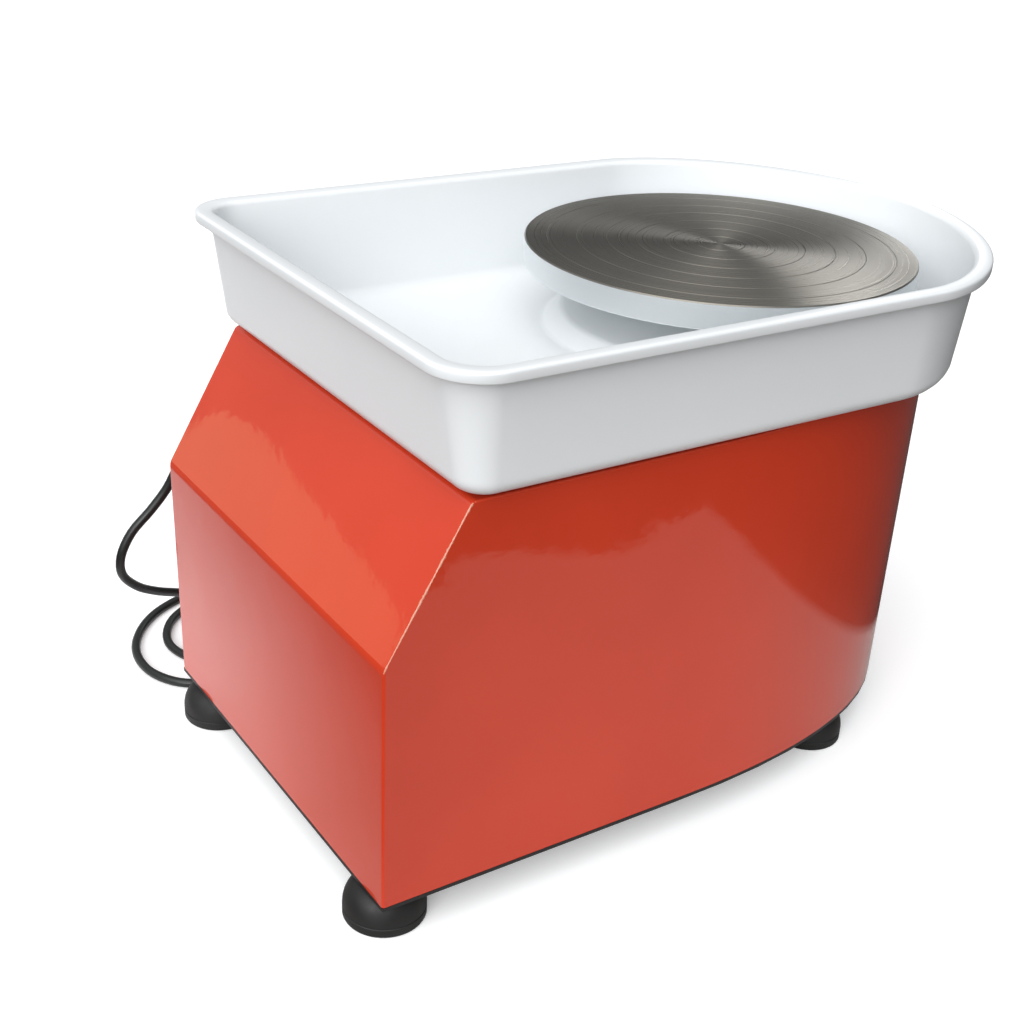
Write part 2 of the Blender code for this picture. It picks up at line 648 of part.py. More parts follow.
def bearing(name, top):
    """A ball bearing's two races; the balls between them are left out."""
    inner_bore = SPINDLE_RADIUS + GAP
    sizes = [
        ("outer_race", BEARING_RADIUS, BEARING_RADIUS - BEARING_RACE),
        ("inner_race", inner_bore + BEARING_RACE, inner_bore),
    ]
    for part, outside, inside in sizes:
        profile = [(outside, top), (outside, top - BEARING_HEIGHT), (inside, top - BEARING_HEIGHT), (inside, top)]
        turned(f"{name}_{part}", profile, (SPINDLE_X, 0, 0), GROUND_STEEL, 24, ring=True)


def bearing_housing():
    seat = BEARING_RADIUS + GAP
    flange_low = BEARING_TOP - BEARING_FLANGE
    profile = [(BEARING_FLANGE_RADIUS, BEARING_TOP), (BEARING_FLANGE_RADIUS, flange_low),
               (BEARING_HOUSING_RADIUS, flange_low), (BEARING_HOUSING_RADIUS, BEARING_LOW),
               (seat, BEARING_LOW), (seat, BEARING_LOW + SEAT_DEPTH),
               (BEARING_SHOULDER_RADIUS, BEARING_LOW + SEAT_DEPTH),
               (BEARING_SHOULDER_RADIUS, BEARING_TOP - SEAT_DEPTH), (seat, BEARING_TOP - SEAT_DEPTH),
               (seat, BEARING_TOP)]
    body = turned("bearing_housing", profile, (SPINDLE_X, 0, 0), BLACK_STEEL, 28, ring=True)
    for number, (x, y) in enumerate(bearing_screw_places(), 1):
        hole = rod(f"bearing_hole_{number}", (x, y, flange_low - 0.01), (x, y, BEARING_TOP + 0.01),
                   SCREW_RADIUS + SCREW_CLEARANCE, BLACK_STEEL, 12)
        boolean(body, as_cutter(hole))
        screw(f"bearing_screw_{number}", x, y, flange_low - GAP - SCREW_HEAD_HEIGHT, DECK_TOP - GAP)
    bearing("upper_bearing", BEARING_TOP - GAP)
    bearing("lower_bearing", BEARING_LOW + SEAT_DEPTH - GAP)


def bearing_screw_places():
    angles = [BEARING_SCREW_START + math.tau * i / BEARING_SCREW_COUNT for i in range(BEARING_SCREW_COUNT)]
    return [(SPINDLE_X + BEARING_SCREW_RING * math.cos(a), BEARING_SCREW_RING * math.sin(a)) for a in angles]


def deck_plate():
    outline = rounded_rectangle((MOTOR_X - DECK_BEYOND_MOTOR, -DECK_HALF_WIDTH),
                                (SPINDLE_X + DECK_BEYOND_SPINDLE, DECK_HALF_WIDTH), DECK_CORNER)
    holes = [circle((SPINDLE_X, 0), SPINDLE_OPENING_RADIUS, 24)]
    holes += [circle(place_xy, SCREW_RADIUS + SCREW_CLEARANCE, 12) for place_xy in bearing_screw_places()]
    slab("deck_plate", [outline, *holes], DECK_LOW, DECK_TOP, BLACK_STEEL)


# ---------------------------------------------------------------- belt drive and motor
def pulley(name, x, radius, bore, hub_radius, finish, steps):
    """A flat-belt pulley with a lip on each side; a wide one has a thin web between rim and hub."""
    half_face = BELT_WIDTH / 2 + BELT_SIDE_GAP
    lip = radius + PULLEY_FLANGE
    top, low = BELT_Z + PULLEY_HALF, BELT_Z - PULLEY_HALF
    profile = [(lip, top), (lip, BELT_Z + half_face), (radius, BELT_Z + half_face), (radius, BELT_Z - half_face),
               (lip, BELT_Z - half_face), (lip, low)]
    inside = radius - PULLEY_RIM
    if inside > hub_radius + PULLEY_WEB:
        web = PULLEY_WEB / 2
        profile += [(inside, low), (inside, BELT_Z - web), (hub_radius, BELT_Z - web), (hub_radius, low)]
        profile += [(bore, low), (bore, top)]
        profile += [(hub_radius, top), (hub_radius, BELT_Z + web), (inside, BELT_Z + web), (inside, top)]
    else:
        profile += [(bore, low), (bore, top)]
    turned(name, profile, (x, 0, 0), finish, steps, ring=True)


def belt_outline(grow):
    """The belt's run round both pulleys: two arcs and the straight lines that touch them."""
    large = SPINDLE_PULLEY_RADIUS + GAP + grow
    small = MOTOR_PULLEY_RADIUS + GAP + grow
    lean = math.asin((large - small) / PULLEY_DISTANCE)
    start = math.pi / 2 + lean
    outline = []
    for i in range(29):
        angle = -start + 2 * start * i / 28
        outline.append((SPINDLE_X + large * math.cos(angle), large * math.sin(angle)))
    for i in range(11):
        angle = start + (math.tau - 2 * start) * i / 10
        outline.append((MOTOR_X + small * math.cos(angle), small * math.sin(angle)))
    return outline


def belt_drive():
    pulley("spindle_pulley", SPINDLE_X, SPINDLE_PULLEY_RADIUS, SPINDLE_RADIUS + GAP, PULLEY_HUB_RADIUS,
           MOTOR_GREY, 28)
    pulley("motor_pulley", MOTOR_X, MOTOR_PULLEY_RADIUS, MOTOR_SHAFT_RADIUS + GAP, PULLEY_HUB_RADIUS,
           GROUND_STEEL, 20)
    outlines = [belt_outline(BELT_THICKNESS), belt_outline(0.0005)]
    slab("drive_belt", outlines, BELT_Z - BELT_WIDTH / 2, BELT_Z + BELT_WIDTH / 2, BLACK_RUBBER)


def motor():
    bore = MOTOR_SHAFT_RADIUS + RUNNING_GAP
    r = MOTOR_RADIUS
    cap_low = MOTOR_TOP - MOTOR_CAP_LENGTH
    body_top = cap_low - GAP
    body = [(r - 0.001, body_top), (r, body_top - 0.001), (r, MOTOR_LOW + 0.004), (r - 0.004, MOTOR_LOW),
            (bore, MOTOR_LOW), (bore, body_top)]
    turned("motor_body", body, (MOTOR_X, 0, 0), MOTOR_GREY, 28, ring=True)
    cap = [(r - 0.001, MOTOR_TOP), (r, MOTOR_TOP - 0.001), (r, cap_low), (bore, cap_low), (bore, MOTOR_TOP)]
    turned("motor_end_cap", cap, (MOTOR_X, 0, 0), TURNED_ALUMINIUM, 28, ring=True)
    shaft_top = BELT_Z + PULLEY_HALF + 0.002
    rod("motor_shaft", (MOTOR_X, 0, MOTOR_LOW + 0.003), (MOTOR_X, 0, shaft_top), MOTOR_SHAFT_RADIUS,
        GROUND_STEEL, 20)
    half = MOTOR_PLATE_HALF
    outline = rounded_rectangle((MOTOR_X - half, -half), (MOTOR_X + half, half), 0.008)
    slab("motor_plate", [outline, circle((MOTOR_X, 0), 0.012)], MOTOR_PLATE_LOW, MOTOR_PLATE_TOP, ZINC_STEEL)
    offset = MOTOR_POST_OFFSET
    posts = [("a", -offset, -offset), ("b", offset, -offset), ("c", offset, offset), ("d", -offset, offset)]
    for name, dx, dy in posts:
        rod("motor_post_" + name, (MOTOR_X + dx, dy, MOTOR_PLATE_TOP + GAP), (MOTOR_X + dx, dy, DECK_LOW - GAP),
            MOTOR_POST_RADIUS, ZINC_STEEL, 12)


# ---------------------------------------------------------------- electronics
def electronics():
    x, y = END_X + BOARD_FROM_END, -SIDE_Y + BOARD_FROM_SIDE
    z = PLATE_TOP + BOARD_POST_HEIGHT
    length, width, thickness = BOARD_SIZE
    box("control_board", (x, y, z), (x + length, y + width, z + thickness), BOARD_GREEN)
    box("board_block", (x + 0.02, y + 0.02, PLATE_TOP + GAP), (x + length - 0.02, y + width - 0.02, z - GAP),
        BLACK_PLASTIC)
    heat_sink(y + width + 0.010, x)
    sx, sy = END_X + SUPPLY_FROM_END, -SIDE_Y + SUPPLY_FROM_SIDE
    length, width, height = SUPPLY_SIZE
    box("power_supply", (sx, sy, PLATE_TOP + GAP), (sx + length, sy + width, PLATE_TOP + GAP + height), ZINC_STEEL)


def heat_sink(y, x):
    """A finned extrusion: a comb outline drawn in YZ and run along X."""
    length, width, height = SINK_SIZE
    z = PLATE_TOP + GAP
    pitch = (width - SINK_FIN) / (SINK_FINS - 1)
    comb = [(y, z), (y + width, z)]
    for i in reversed(range(SINK_FINS)):
        left = y + i * pitch
        comb += [(left + SINK_FIN, z + height), (left, z + height)]
        if i:
            comb += [(left, z + SINK_BASE), (left - pitch + SINK_FIN, z + SINK_BASE)]
    slab("heat_sink", [comb], x, x + length, TURNED_ALUMINIUM, "YZ")


# ---------------------------------------------------------------- control panel
def rocker_switch(name, x, z, half_size):
    """A switch body snapped through the panel, and the rocker that tips in its pocket."""
    half_x, half_z = half_size
    face = PANEL_FACE + GAP + SWITCH_BEZEL_DEPTH
    bezel = box(name + "_body", (x - half_x - SWITCH_BEZEL, PANEL_FACE + GAP, z - half_z - SWITCH_BEZEL),
                (x + half_x + SWITCH_BEZEL, face, z + half_z + SWITCH_BEZEL), BLACK_PLASTIC)
    inner = box(name + "_barrel", (x - half_x, PANEL_FACE - SWITCH_BODY_DEPTH, z - half_z),
                (x + half_x, face - 0.0005, z + half_z), BLACK_PLASTIC)
    boolean(bezel, as_cutter(inner), "UNION")
    pocket_x, pocket_z = half_x - SWITCH_WALL, half_z - SWITCH_WALL
    pocket = box(name + "_pocket", (x - pocket_x, face - ROCKER_POCKET, z - pocket_z),
                 (x + pocket_x, face + 0.01, z + pocket_z), BLACK_PLASTIC)
    boolean(bezel, as_cutter(pocket))
    reach = pocket_z - 0.0008
    wide = pocket_x - 0.0005
    pivot_y = face - 0.0015
    shape = [(-reach, -0.0005), (-reach * 0.5, -0.0028), (0.0, -0.0035), (reach * 0.5, -0.0028), (reach, -0.0005),
             (reach - 0.0006, 0.0042), (0.0, 0.0024), (-reach + 0.0006, 0.0042)]
    turn = ROCKER_TILT
    outline = [
        (pivot_y + u * math.sin(turn) + v * math.cos(turn), z + u * math.cos(turn) - v * math.sin(turn))
        for u, v in shape
    ]
    slab(name + "_rocker", [outline], x - wide, x + wide, BLACK_PLASTIC, "YZ")


def control_panel():
    middle = PANEL_LOW + PANEL_HEIGHT / 2
    upper, lower = middle + 0.020, middle - 0.020
    left, centre, right = PANEL_X + 0.028, PANEL_X + PANEL_WIDTH / 2, PANEL_X + PANEL_WIDTH - 0.028

    def switch_hole(x, z, half_size):
        half_x, half_z = half_size[0] + GAP, half_size[1] + GAP
        return rectangle((x - half_x, z - half_z), (x + half_x, z + half_z))

    holes = [
        switch_hole(left, middle, POWER_SWITCH),
        switch_hole(centre, upper, DIRECTION_SWITCH),
        circle((right, upper), POT_BUSH_RADIUS + GAP, 16),
        circle((centre, lower), FUSE_RADIUS + GAP, 16),
        circle((right, lower), SOCKET_RADIUS + GAP, 20),
    ]
    outline = rounded_rectangle((PANEL_X, PANEL_LOW), (PANEL_X + PANEL_WIDTH, PANEL_LOW + PANEL_HEIGHT), 0.004)
    slab("control_panel", [outline, *holes], SIDE_Y + GAP, PANEL_FACE, BLACK_STEEL, "XZ")
    rocker_switch("power_switch", left, middle, POWER_SWITCH)
    rocker_switch("direction_switch", centre, upper, DIRECTION_SWITCH)
    speed_control(right, upper)
    fuse_and_socket(centre, right, lower)


def speed_control(x, z):
    back = SIDE_Y - GAP
    bush_top = PANEL_FACE + POT_BUSH_LENGTH
    shaft_top = PANEL_FACE + 0.010
    pot = [(0.0, shaft_top), (POT_SHAFT_RADIUS, shaft_top), (POT_SHAFT_RADIUS, bush_top),
           (POT_BUSH_RADIUS, bush_top), (POT_BUSH_RADIUS, back), (POT_RADIUS, back),
           (POT_RADIUS, back - POT_LENGTH), (0.0, back - POT_LENGTH)]
    turned("speed_pot", pot, (x, 0, z), ZINC_STEEL, 16, axis="Y")
    low, top = bush_top + 0.0006, bush_top + 0.0006 + KNOB_LENGTH
    bore, depth = POT_SHAFT_RADIUS + GAP, shaft_top + GAP
    knob = [(0.0, top), (KNOB_RADIUS - 0.002, top), (KNOB_RADIUS - 0.001, top - 0.001), (KNOB_RADIUS, low),
            (bore, low), (bore, depth), (0.0, depth)]
    body = turned("speed_knob", knob, (x, 0, z), BLACK_PLASTIC, 24, axis="Y")
    notch = box("knob_notch", (x - 0.0007, top - 0.0006, z + 0.002), (x + 0.0007, top + 0.01, z + 0.02),
                BLACK_PLASTIC)
    boolean(body, as_cutter(notch))


def fuse_and_socket(fuse_x, socket_x, z):
    seat = PANEL_FACE + GAP
    top = seat + FUSE_CAP_LENGTH
    fuse = [(0.0, top), (FUSE_CAP_RADIUS - 0.001, top), (FUSE_CAP_RADIUS, top - 0.001), (FUSE_CAP_RADIUS, seat),
            (FUSE_RADIUS, seat), (FUSE_RADIUS, seat - FUSE_BODY_LENGTH), (0.0, seat - FUSE_BODY_LENGTH)]
    turned("fuse_holder", fuse, (fuse_x, 0, z), BLACK_PLASTIC, 20, axis="Y")
    top = seat + 0.003
    floor = seat - SOCKET_LENGTH
    # the bore's floor lies on the axis, so the profile starts and ends there
    socket = [(0.0, floor + SOCKET_FLOOR), (SOCKET_BORE_RADIUS, floor + SOCKET_FLOOR), (SOCKET_BORE_RADIUS, top),
              (SOCKET_FLANGE_RADIUS, top), (SOCKET_FLANGE_RADIUS, seat), (SOCKET_RADIUS, seat),
              (SOCKET_RADIUS, floor), (0.0, floor)]
    turned("pedal_socket", socket, (socket_x, 0, z), ZINC_STEEL, 20, axis="Y")


# ---------------------------------------------------------------- mains cord
# The uncoiled stretch: out of the gland, down to the floor behind the slanted end, two loose turns
# there, and along to the coil.  The heights of points on the floor are the cord's own radius.
FLOOR = CORD_RADIUS
CORD_ROUTE = [
    (-0.2087, 0.1694, 0.1720), (-0.2091, 0.1815, 0.1712), (-0.2155, 0.1940, 0.1590), (-0.2245, 0.1995, 0.1390),
    (-0.2365, 0.2015, 0.1240), (-0.2510, 0.2030, 0.1090), (-0.2595, 0.2040, 0.0920), (-0.2585, 0.2080, 0.0760),
    (-0.2475, 0.2140, 0.0610),
    (-0.2297, 0.2240, 0.0470), (-0.2007, 0.2370, 0.0310), (-0.1707, 0.2410, 0.0160), (-0.1457, 0.2320, 0.0065),
    (-0.1327, 0.2110, FLOOR), (-0.1407, 0.1860, FLOOR), (-0.1657, 0.1720, FLOOR), (-0.1957, 0.1740, FLOOR),
    (-0.2177, 0.1920, FLOOR), (-0.2247, 0.2180, FLOOR), (-0.2127, 0.2470, FLOOR), (-0.1867, 0.2660, FLOOR),
    (-0.1537, 0.2690, FLOOR), (-0.1227, 0.2520, FLOOR), (-0.1077, 0.2220, FLOOR), (-0.1137, 0.1880, FLOOR),
    (-0.1367, 0.1620, FLOOR), (-0.1707, 0.1525, FLOOR), (-0.2067, 0.1525, FLOOR), (-0.2347, 0.1620, FLOOR),
    (-0.2497, 0.1850, FLOOR), (-0.2507, 0.2150, FLOOR), (-0.2387, 0.2430, FLOOR), (-0.2157, 0.2670, FLOOR),
    (-0.1827, 0.2820, FLOOR), (-0.1457, 0.2870, FLOOR), (-0.1077, 0.2860, 0.0040), (-0.0731, 0.2850, 0.0048),
]
TAIL_ROUTE = [(-0.0279, 0.2850, 0.0150), (-0.0135, 0.2850, 0.0115), (0.0015, 0.2850, 0.0095)]
PLUG_AXIS_HEIGHT = 0.0095
PLUG_START = (0.0024, 0.2850)
PLUG_SLEEVE = 0.014
PLUG_BODY = 0.030
PLUG_HALF_WIDTH = 0.0125
PLUG_BLADE = 0.0165
PLUG_BLADE_SPACING = 0.0064


def smooth_points(route, spacing):
    """Evenly spaced points on a smooth curve through a route's own points (centripetal Catmull-Rom)."""
    points = [Vector(p) for p in route]
    points = [2 * points[0] - points[1], *points, 2 * points[-1] - points[-2]]
    dense = []
    for a, b, c, d in zip(points, points[1:], points[2:], points[3:]):
        t1 = (b - a).length ** 0.5
        t2 = t1 + (c - b).length ** 0.5
        t3 = t2 + (d - c).length ** 0.5
        for i in range(12):
            t = t1 + (t2 - t1) * i / 12
            p1 = a * (t1 - t) / t1 + b * t / t1
            p2 = b * (t2 - t) / (t2 - t1) + c * (t - t1) / (t2 - t1)
            p3 = c * (t3 - t) / (t3 - t2) + d * (t - t2) / (t3 - t2)
            q1 = p1 * (t2 - t) / t2 + p2 * t / t2
            q2 = p2 * (t3 - t) / (t3 - t1) + p3 * (t - t1) / (t3 - t1)
            dense.append(q1 * (t2 - t) / (t2 - t1) + q2 * (t - t1) / (t2 - t1))
    dense.append(points[-2])
    lengths = [0.0]
    for a, b in zip(dense, dense[1:]):
        lengths.append(lengths[-1] + (b - a).length)
    count = max(2, round(lengths[-1] / spacing))
    even, k = [], 0
    for i in range(count + 1):
        want = lengths[-1] * i / count
        while k < len(lengths) - 2 and lengths[k + 1] < want:
            k += 1
        share = (want - lengths[k]) / (lengths[k + 1] - lengths[k])
        at = dense[k].lerp(dense[k + 1], min(max(share, 0.0), 1.0))
        at.z = max(at.z, CORD_RADIUS)
        even.append(at)
    print("cord stretch", round(lengths[-1], 4), "m,", len(even), "points")
    return even


def cord_tube(name, route):
    curve = bpy.data.curves.new(name, "CURVE")
    curve.dimensions = "3D"
    curve.bevel_depth = CORD_RADIUS
    curve.bevel_resolution = 2
    curve.use_fill_caps = True
    points = smooth_points(route, CORD_SPACING)
    spline = curve.splines.new("POLY")
    spline.points.add(len(points) - 1)
    for point, place_at in zip(spline.points, points):
        point.co = (*place_at, 1.0)
    curve.materials.append(CORD_PVC)
    parts.objects.link(bpy.data.objects.new(name, curve))


def cord_gland():
    low = SIDE_Y - SHEET - GLAND_INSIDE
    tip = SIDE_Y + GLAND_REACH
    neck, flange = GLAND_NECK_RADIUS, GLAND_FLANGE_RADIUS
    profile = [(0.0, tip), (GLAND_TIP_RADIUS, tip), (neck, SIDE_Y + GAP + GLAND_FLANGE),
               (flange, SIDE_Y + GAP + GLAND_FLANGE), (flange, SIDE_Y + GAP), (neck, SIDE_Y + GAP), (neck, low),
               (0.0, low)]
    turned("cord_gland", profile, (GLAND_X, 0, GLAND_HEIGHT), BLACK_RUBBER, 20, axis="Y")


def cord_coil():
    """The outer shape of the coil, and the tie that goes round it."""
    side = CORD_RADIUS + 0.0002
    height = 2 * CORD_RADIUS * (COIL_TURNS + 1)
    low, top = COIL_LIFT, COIL_LIFT + height
    profile = [(COIL_RADIUS + side, top), (COIL_RADIUS + side, low), (COIL_RADIUS - side, low),
               (COIL_RADIUS - side, top)]
    x, y = COIL_CENTRE
    turned("cord_coil", profile, (x, y, 0), CORD_PVC, 36, ring=True)
    tie, clear = 0.0010, 0.0005
    inside = rectangle((x + COIL_RADIUS - side - clear, low - GAP),
                       (x + COIL_RADIUS + side + clear, top + clear))
    outside = rectangle((x + COIL_RADIUS - side - clear - tie, low - GAP - tie),
                        (x + COIL_RADIUS + side + clear + tie, top + clear + tie))
    slab("cord_tie", [outside, inside], y - 0.003, y + 0.003, BLACK_PLASTIC, "XZ")


def plug():
    """A moulded plug lying on its side: sleeve, body, two flat blades and a round earth pin."""
    x, y = PLUG_START
    z = PLUG_AXIS_HEIGHT
    body_x = x + PLUG_SLEEVE
    face_x = body_x + PLUG_BODY
    body = box("plug", (body_x, y - PLUG_HALF_WIDTH, 0.0005), (face_x, y + PLUG_HALF_WIDTH, 2 * z - 0.0005),
               BLACK_PLASTIC)
    sleeve = rod("plug_sleeve", (x, y, z), (body_x + 0.004, y, z), GLAND_TIP_RADIUS, BLACK_PLASTIC)
    boolean(body, as_cutter(sleeve), "UNION")
    for side in (-1, 1):
        blade_y = y + side * PLUG_BLADE_SPACING
        blade = box(f"blade_{side}", (face_x - 0.004, blade_y - 0.00075, z - 0.0052),
                    (face_x + PLUG_BLADE, blade_y + 0.00075, z + 0.0012), GROUND_STEEL)
        boolean(body, as_cutter(blade), "UNION")
    earth = rod("earth_pin", (face_x - 0.004, y, z + 0.0058), (face_x + PLUG_BLADE + 0.003, y, z + 0.0058), 0.0022,
                GROUND_STEEL, 12)
    boolean(body, as_cutter(earth), "UNION")


housing()
base_plate()
feet()
basin()
basin_pads()
wheel_head()
head_hub()
spindle()
bearing_housing()
deck_plate()
belt_drive()
motor()
electronics()
control_panel()
cord_gland()
cord_tube("mains_cord", CORD_ROUTE)
cord_coil()
cord_tube("cord_tail", TAIL_ROUTE)
plug()

bpy.context.view_layer.update()
names = sorted(piece.name for piece in parts.objects)
print(len(names), "sub-parts; spindle x", round(SPINDLE_X, 5), "motor x", round(MOTOR_X, 5))
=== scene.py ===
# %% [markdown]
# A tabletop pottery wheel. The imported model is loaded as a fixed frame, and every
# visible piece is then modelled or painted around it, in metres, in the same place.

# %% Load the frame
import math

import bmesh
import bpy
from mathutils import Euler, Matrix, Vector


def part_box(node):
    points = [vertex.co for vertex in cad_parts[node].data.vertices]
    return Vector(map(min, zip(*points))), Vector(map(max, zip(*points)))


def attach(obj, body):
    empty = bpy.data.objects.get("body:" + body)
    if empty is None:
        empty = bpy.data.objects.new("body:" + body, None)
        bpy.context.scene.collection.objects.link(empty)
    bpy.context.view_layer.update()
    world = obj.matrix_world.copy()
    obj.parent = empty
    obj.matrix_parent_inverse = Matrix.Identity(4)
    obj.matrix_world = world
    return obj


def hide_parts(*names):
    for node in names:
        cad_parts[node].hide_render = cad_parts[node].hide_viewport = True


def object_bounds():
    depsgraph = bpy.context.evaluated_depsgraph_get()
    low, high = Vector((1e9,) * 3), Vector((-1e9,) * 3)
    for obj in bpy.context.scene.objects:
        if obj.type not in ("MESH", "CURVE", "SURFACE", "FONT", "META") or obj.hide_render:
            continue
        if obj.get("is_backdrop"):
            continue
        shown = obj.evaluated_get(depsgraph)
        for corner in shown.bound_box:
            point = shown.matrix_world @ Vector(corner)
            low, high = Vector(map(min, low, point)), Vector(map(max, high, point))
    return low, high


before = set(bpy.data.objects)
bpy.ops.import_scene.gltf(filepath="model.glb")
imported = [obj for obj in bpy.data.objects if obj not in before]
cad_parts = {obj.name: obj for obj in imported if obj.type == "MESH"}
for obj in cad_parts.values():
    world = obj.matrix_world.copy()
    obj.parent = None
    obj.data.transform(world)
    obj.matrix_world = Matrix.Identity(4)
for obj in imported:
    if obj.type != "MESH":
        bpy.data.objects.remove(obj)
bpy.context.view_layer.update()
bpy.ops.object.select_all(action="DESELECT")

# %% [markdown]
# The camera stands in front of the plain side, a little left of the slanted end and
# well above the rim. A slightly long lens keeps the box from looking stretched.

# %% Camera
camera_data = bpy.data.cameras.new("camera")
camera_data.lens = 53.046
camera_data.sensor_width = 36.0
camera_data.shift_x = -0.03204
camera_data.shift_y = 0.07832
camera = bpy.data.objects.new("camera", camera_data)
camera.location = (-0.55291, -0.72466, 0.59719)
camera.rotation_euler = Euler([math.radians(a) for a in (61.0261, -3.1281, -33.5962)])
bpy.context.scene.collection.objects.link(camera)
bpy.context.scene.camera = camera

# %% [markdown]
# The places and sizes that the pieces share all come from the frame: the housing's ends
# and sides, the basin's rim, the spindle, and the table that everything stands on.

# %% Places read from the frame
MM = 0.001
shell_low, shell_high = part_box("housing_shell")
rim_low, rim_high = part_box("basin")
head_low, head_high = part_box("wheel_head")
panel_low, panel_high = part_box("control_panel")
gland_low, gland_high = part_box("cord_gland")
END_X, NOSE_X, SIDE_Y = shell_low.x, shell_high.x, shell_high.y
SPINDLE = Vector(((head_low.x + head_high.x) / 2, 0, 0))
HEAD_RADIUS = (head_high.x - head_low.x) / 2
SLANT_START, SLANT_SETBACK = 183.0 * MM, 50.6 * MM
print("spindle", round(SPINDLE.x, 5), "wheel head", round(HEAD_RADIUS * 2 / MM, 1), "mm across")

# %% [markdown]
# Each material is a small node network on one Principled shader. One function adds a
# node with its settings and links, another turns a screen colour into light, and short
# ones make what repeats: noise, sums, steps on vectors, ranges, blends and a bump.

# %% Helpers for materials
def colour(hex_code):
    """A screen colour such as "C8402A" as linear light."""
    channels = [int(hex_code[i : i + 2], 16) / 255 for i in (0, 2, 4)]
    return (*[c / 12.92 if c <= 0.04045 else ((c + 0.055) / 1.055) ** 2.4 for c in channels], 1.0)


def add(tree, kind, inputs=None, **settings):
    """Adds one node. Inputs are numbers, colours or another node's output, by socket."""
    made = tree.nodes.new("ShaderNode" + kind)
    for name, value in settings.items():
        setattr(made, name, value)
    for socket, value in (inputs or {}).items():
        if isinstance(value, bpy.types.NodeSocket):
            tree.links.new(value, made.inputs[socket])
        else:
            made.inputs[socket].default_value = value
    return made


def new_material(name, **sockets):
    """A Principled material and where it is on the piece, in metres."""
    material = bpy.data.materials.new(name)
    material.use_nodes = True
    tree = material.node_tree
    tree.nodes.clear()
    shader = add(tree, "BsdfPrincipled", {k.replace("_", " "): v for k, v in sockets.items()})
    add(tree, "OutputMaterial", {"Surface": shader.outputs[0]})
    where = add(tree, "TexCoord").outputs["Object"]
    return material, tree, shader, where


def per_mm(size):
    """The texture scale that makes a pattern repeat about every so many millimetres."""
    return 1 / (size * MM)


def noise(tree, where, size, detail, **more):
    """Cloudy noise that repeats about every so many millimetres."""
    inputs = {"Vector": where, "Scale": per_mm(size), "Detail": detail, **more}
    return add(tree, "TexNoise", inputs).outputs["Fac"]


def calc(tree, operation, *values):
    """The result of one sum on numbers."""
    return add(tree, "Math", dict(enumerate(values)), operation=operation).outputs[0]


def vector_calc(tree, operation, *values):
    """The result of one step on vectors. A length is a number."""
    made = add(tree, "VectorMath", dict(enumerate(values)), operation=operation)
    return made.outputs["Value" if operation == "LENGTH" else "Vector"]


def remap(tree, value, source, target=(0.0, 1.0)):
    """A value moved from one range to another, and held inside it."""
    limits = zip(("From Min", "From Max", "To Min", "To Max"), (*source, *target))
    return add(tree, "MapRange", {"Value": value, **dict(limits)}).outputs[0]


def two_tones(tree, value, dark, light, span):
    """A ramp from one colour to another over a span of the value."""
    ramp = add(tree, "ValToRGB", {"Fac": value})
    for i in (0, 1):
        ramp.color_ramp.elements[i].position = span[i]
        ramp.color_ramp.elements[i].color = (dark, light)[i]
    return ramp.outputs[0]


def blend(tree, share, first, second):
    """One colour over another."""
    return add(tree, "MixRGB", {"Fac": share, "Color1": first, "Color2": second}).outputs[0]


def dress(tree, shader, tone, rough, height, depth, strength):
    """Gives a shader its colour, its roughness and a bump of so many millimetres."""
    bump = add(tree, "Bump", {"Height": height, "Distance": depth * MM, "Strength": strength})
    for output, socket in ((tone, "Base Color"), (rough, "Roughness"), (bump.outputs[0], "Normal")):
        tree.links.new(output, shader.inputs[socket])


def uneven(roughness):
    """The range that a finish's roughness wanders over."""
    return roughness * 0.85, roughness * 1.2


NOISE_SPAN = (0.3, 0.7)  # nearly all of a noise's values lie between these

# %% [markdown]
# The housing is sheet steel in a glossy orange-red baked enamel. Spray gun droplets
# leave an orange peel that ripples every reflection. On the sharp bends at the slanted
# end and the top the paint is thin, and small chips show its pale primer. The same pale
# colour also paints a thin highlight line along the slanted end's bends.

# %% Baked enamel
ENAMEL_DARK, ENAMEL_LIGHT, PRIMER_AND_EDGE_HIGHLIGHT = colour("CD3919"), colour("D33D1D"), colour("D58E74")
TOP_SPARED = 0.5 * MM  # the top's bends have this much less chipping and painted edge highlight
PATCH_SHARE = 0.7
CHIP_NOISE_SPAN, CHIP_AND_HIGHLIGHT_REACH = (0.78, 1.2), (0.42 * MM, 1.7 * MM)
SAG_SHARE, PEEL_DEPTH, PEEL_STRENGTH = 4.0, 0.06 * MM, 0.55
enamel, tree, shader, where = new_material(
    "baked_enamel_orange", Roughness=0.45, IOR=1.45, Specular_IOR_Level=0.2, Coat_Weight=1.0,
    Coat_Roughness=0.04, Coat_IOR=1.5
)
tone = two_tones(tree, noise(tree, where, 90, 2.0), ENAMEL_DARK, ENAMEL_LIGHT, NOISE_SPAN)
# the distance from the bends of the slanted end and of the top, on both sides at once
split = add(tree, "SeparateXYZ", {"Vector": where})
mirrored = calc(tree, "ABSOLUTE", split.outputs["Y"])
folded = add(
    tree, "CombineXYZ", {"X": split.outputs["X"], "Y": mirrored, "Z": split.outputs["Z"]}
).outputs[0]
slant_corner, top_bend = Vector((END_X, SIDE_Y, SLANT_START)), Vector((0.0, SIDE_Y, shell_high.z))
slant_run = Vector((SLANT_SETBACK, 0, shell_high.z - SLANT_START)).normalized()
from_corner = vector_calc(tree, "SUBTRACT", folded, slant_corner)
off_slant = vector_calc(tree, "CROSS_PRODUCT", from_corner, slant_run)
slant_reach = vector_calc(tree, "LENGTH", off_slant)
from_top = vector_calc(tree, "SUBTRACT", folded, top_bend)
off_top = vector_calc(tree, "MULTIPLY", from_top, (0.0, 1.0, 1.0))
top_reach = calc(tree, "ADD", vector_calc(tree, "LENGTH", off_top), TOP_SPARED)
bend_reach = calc(tree, "MINIMUM", slant_reach, top_reach)
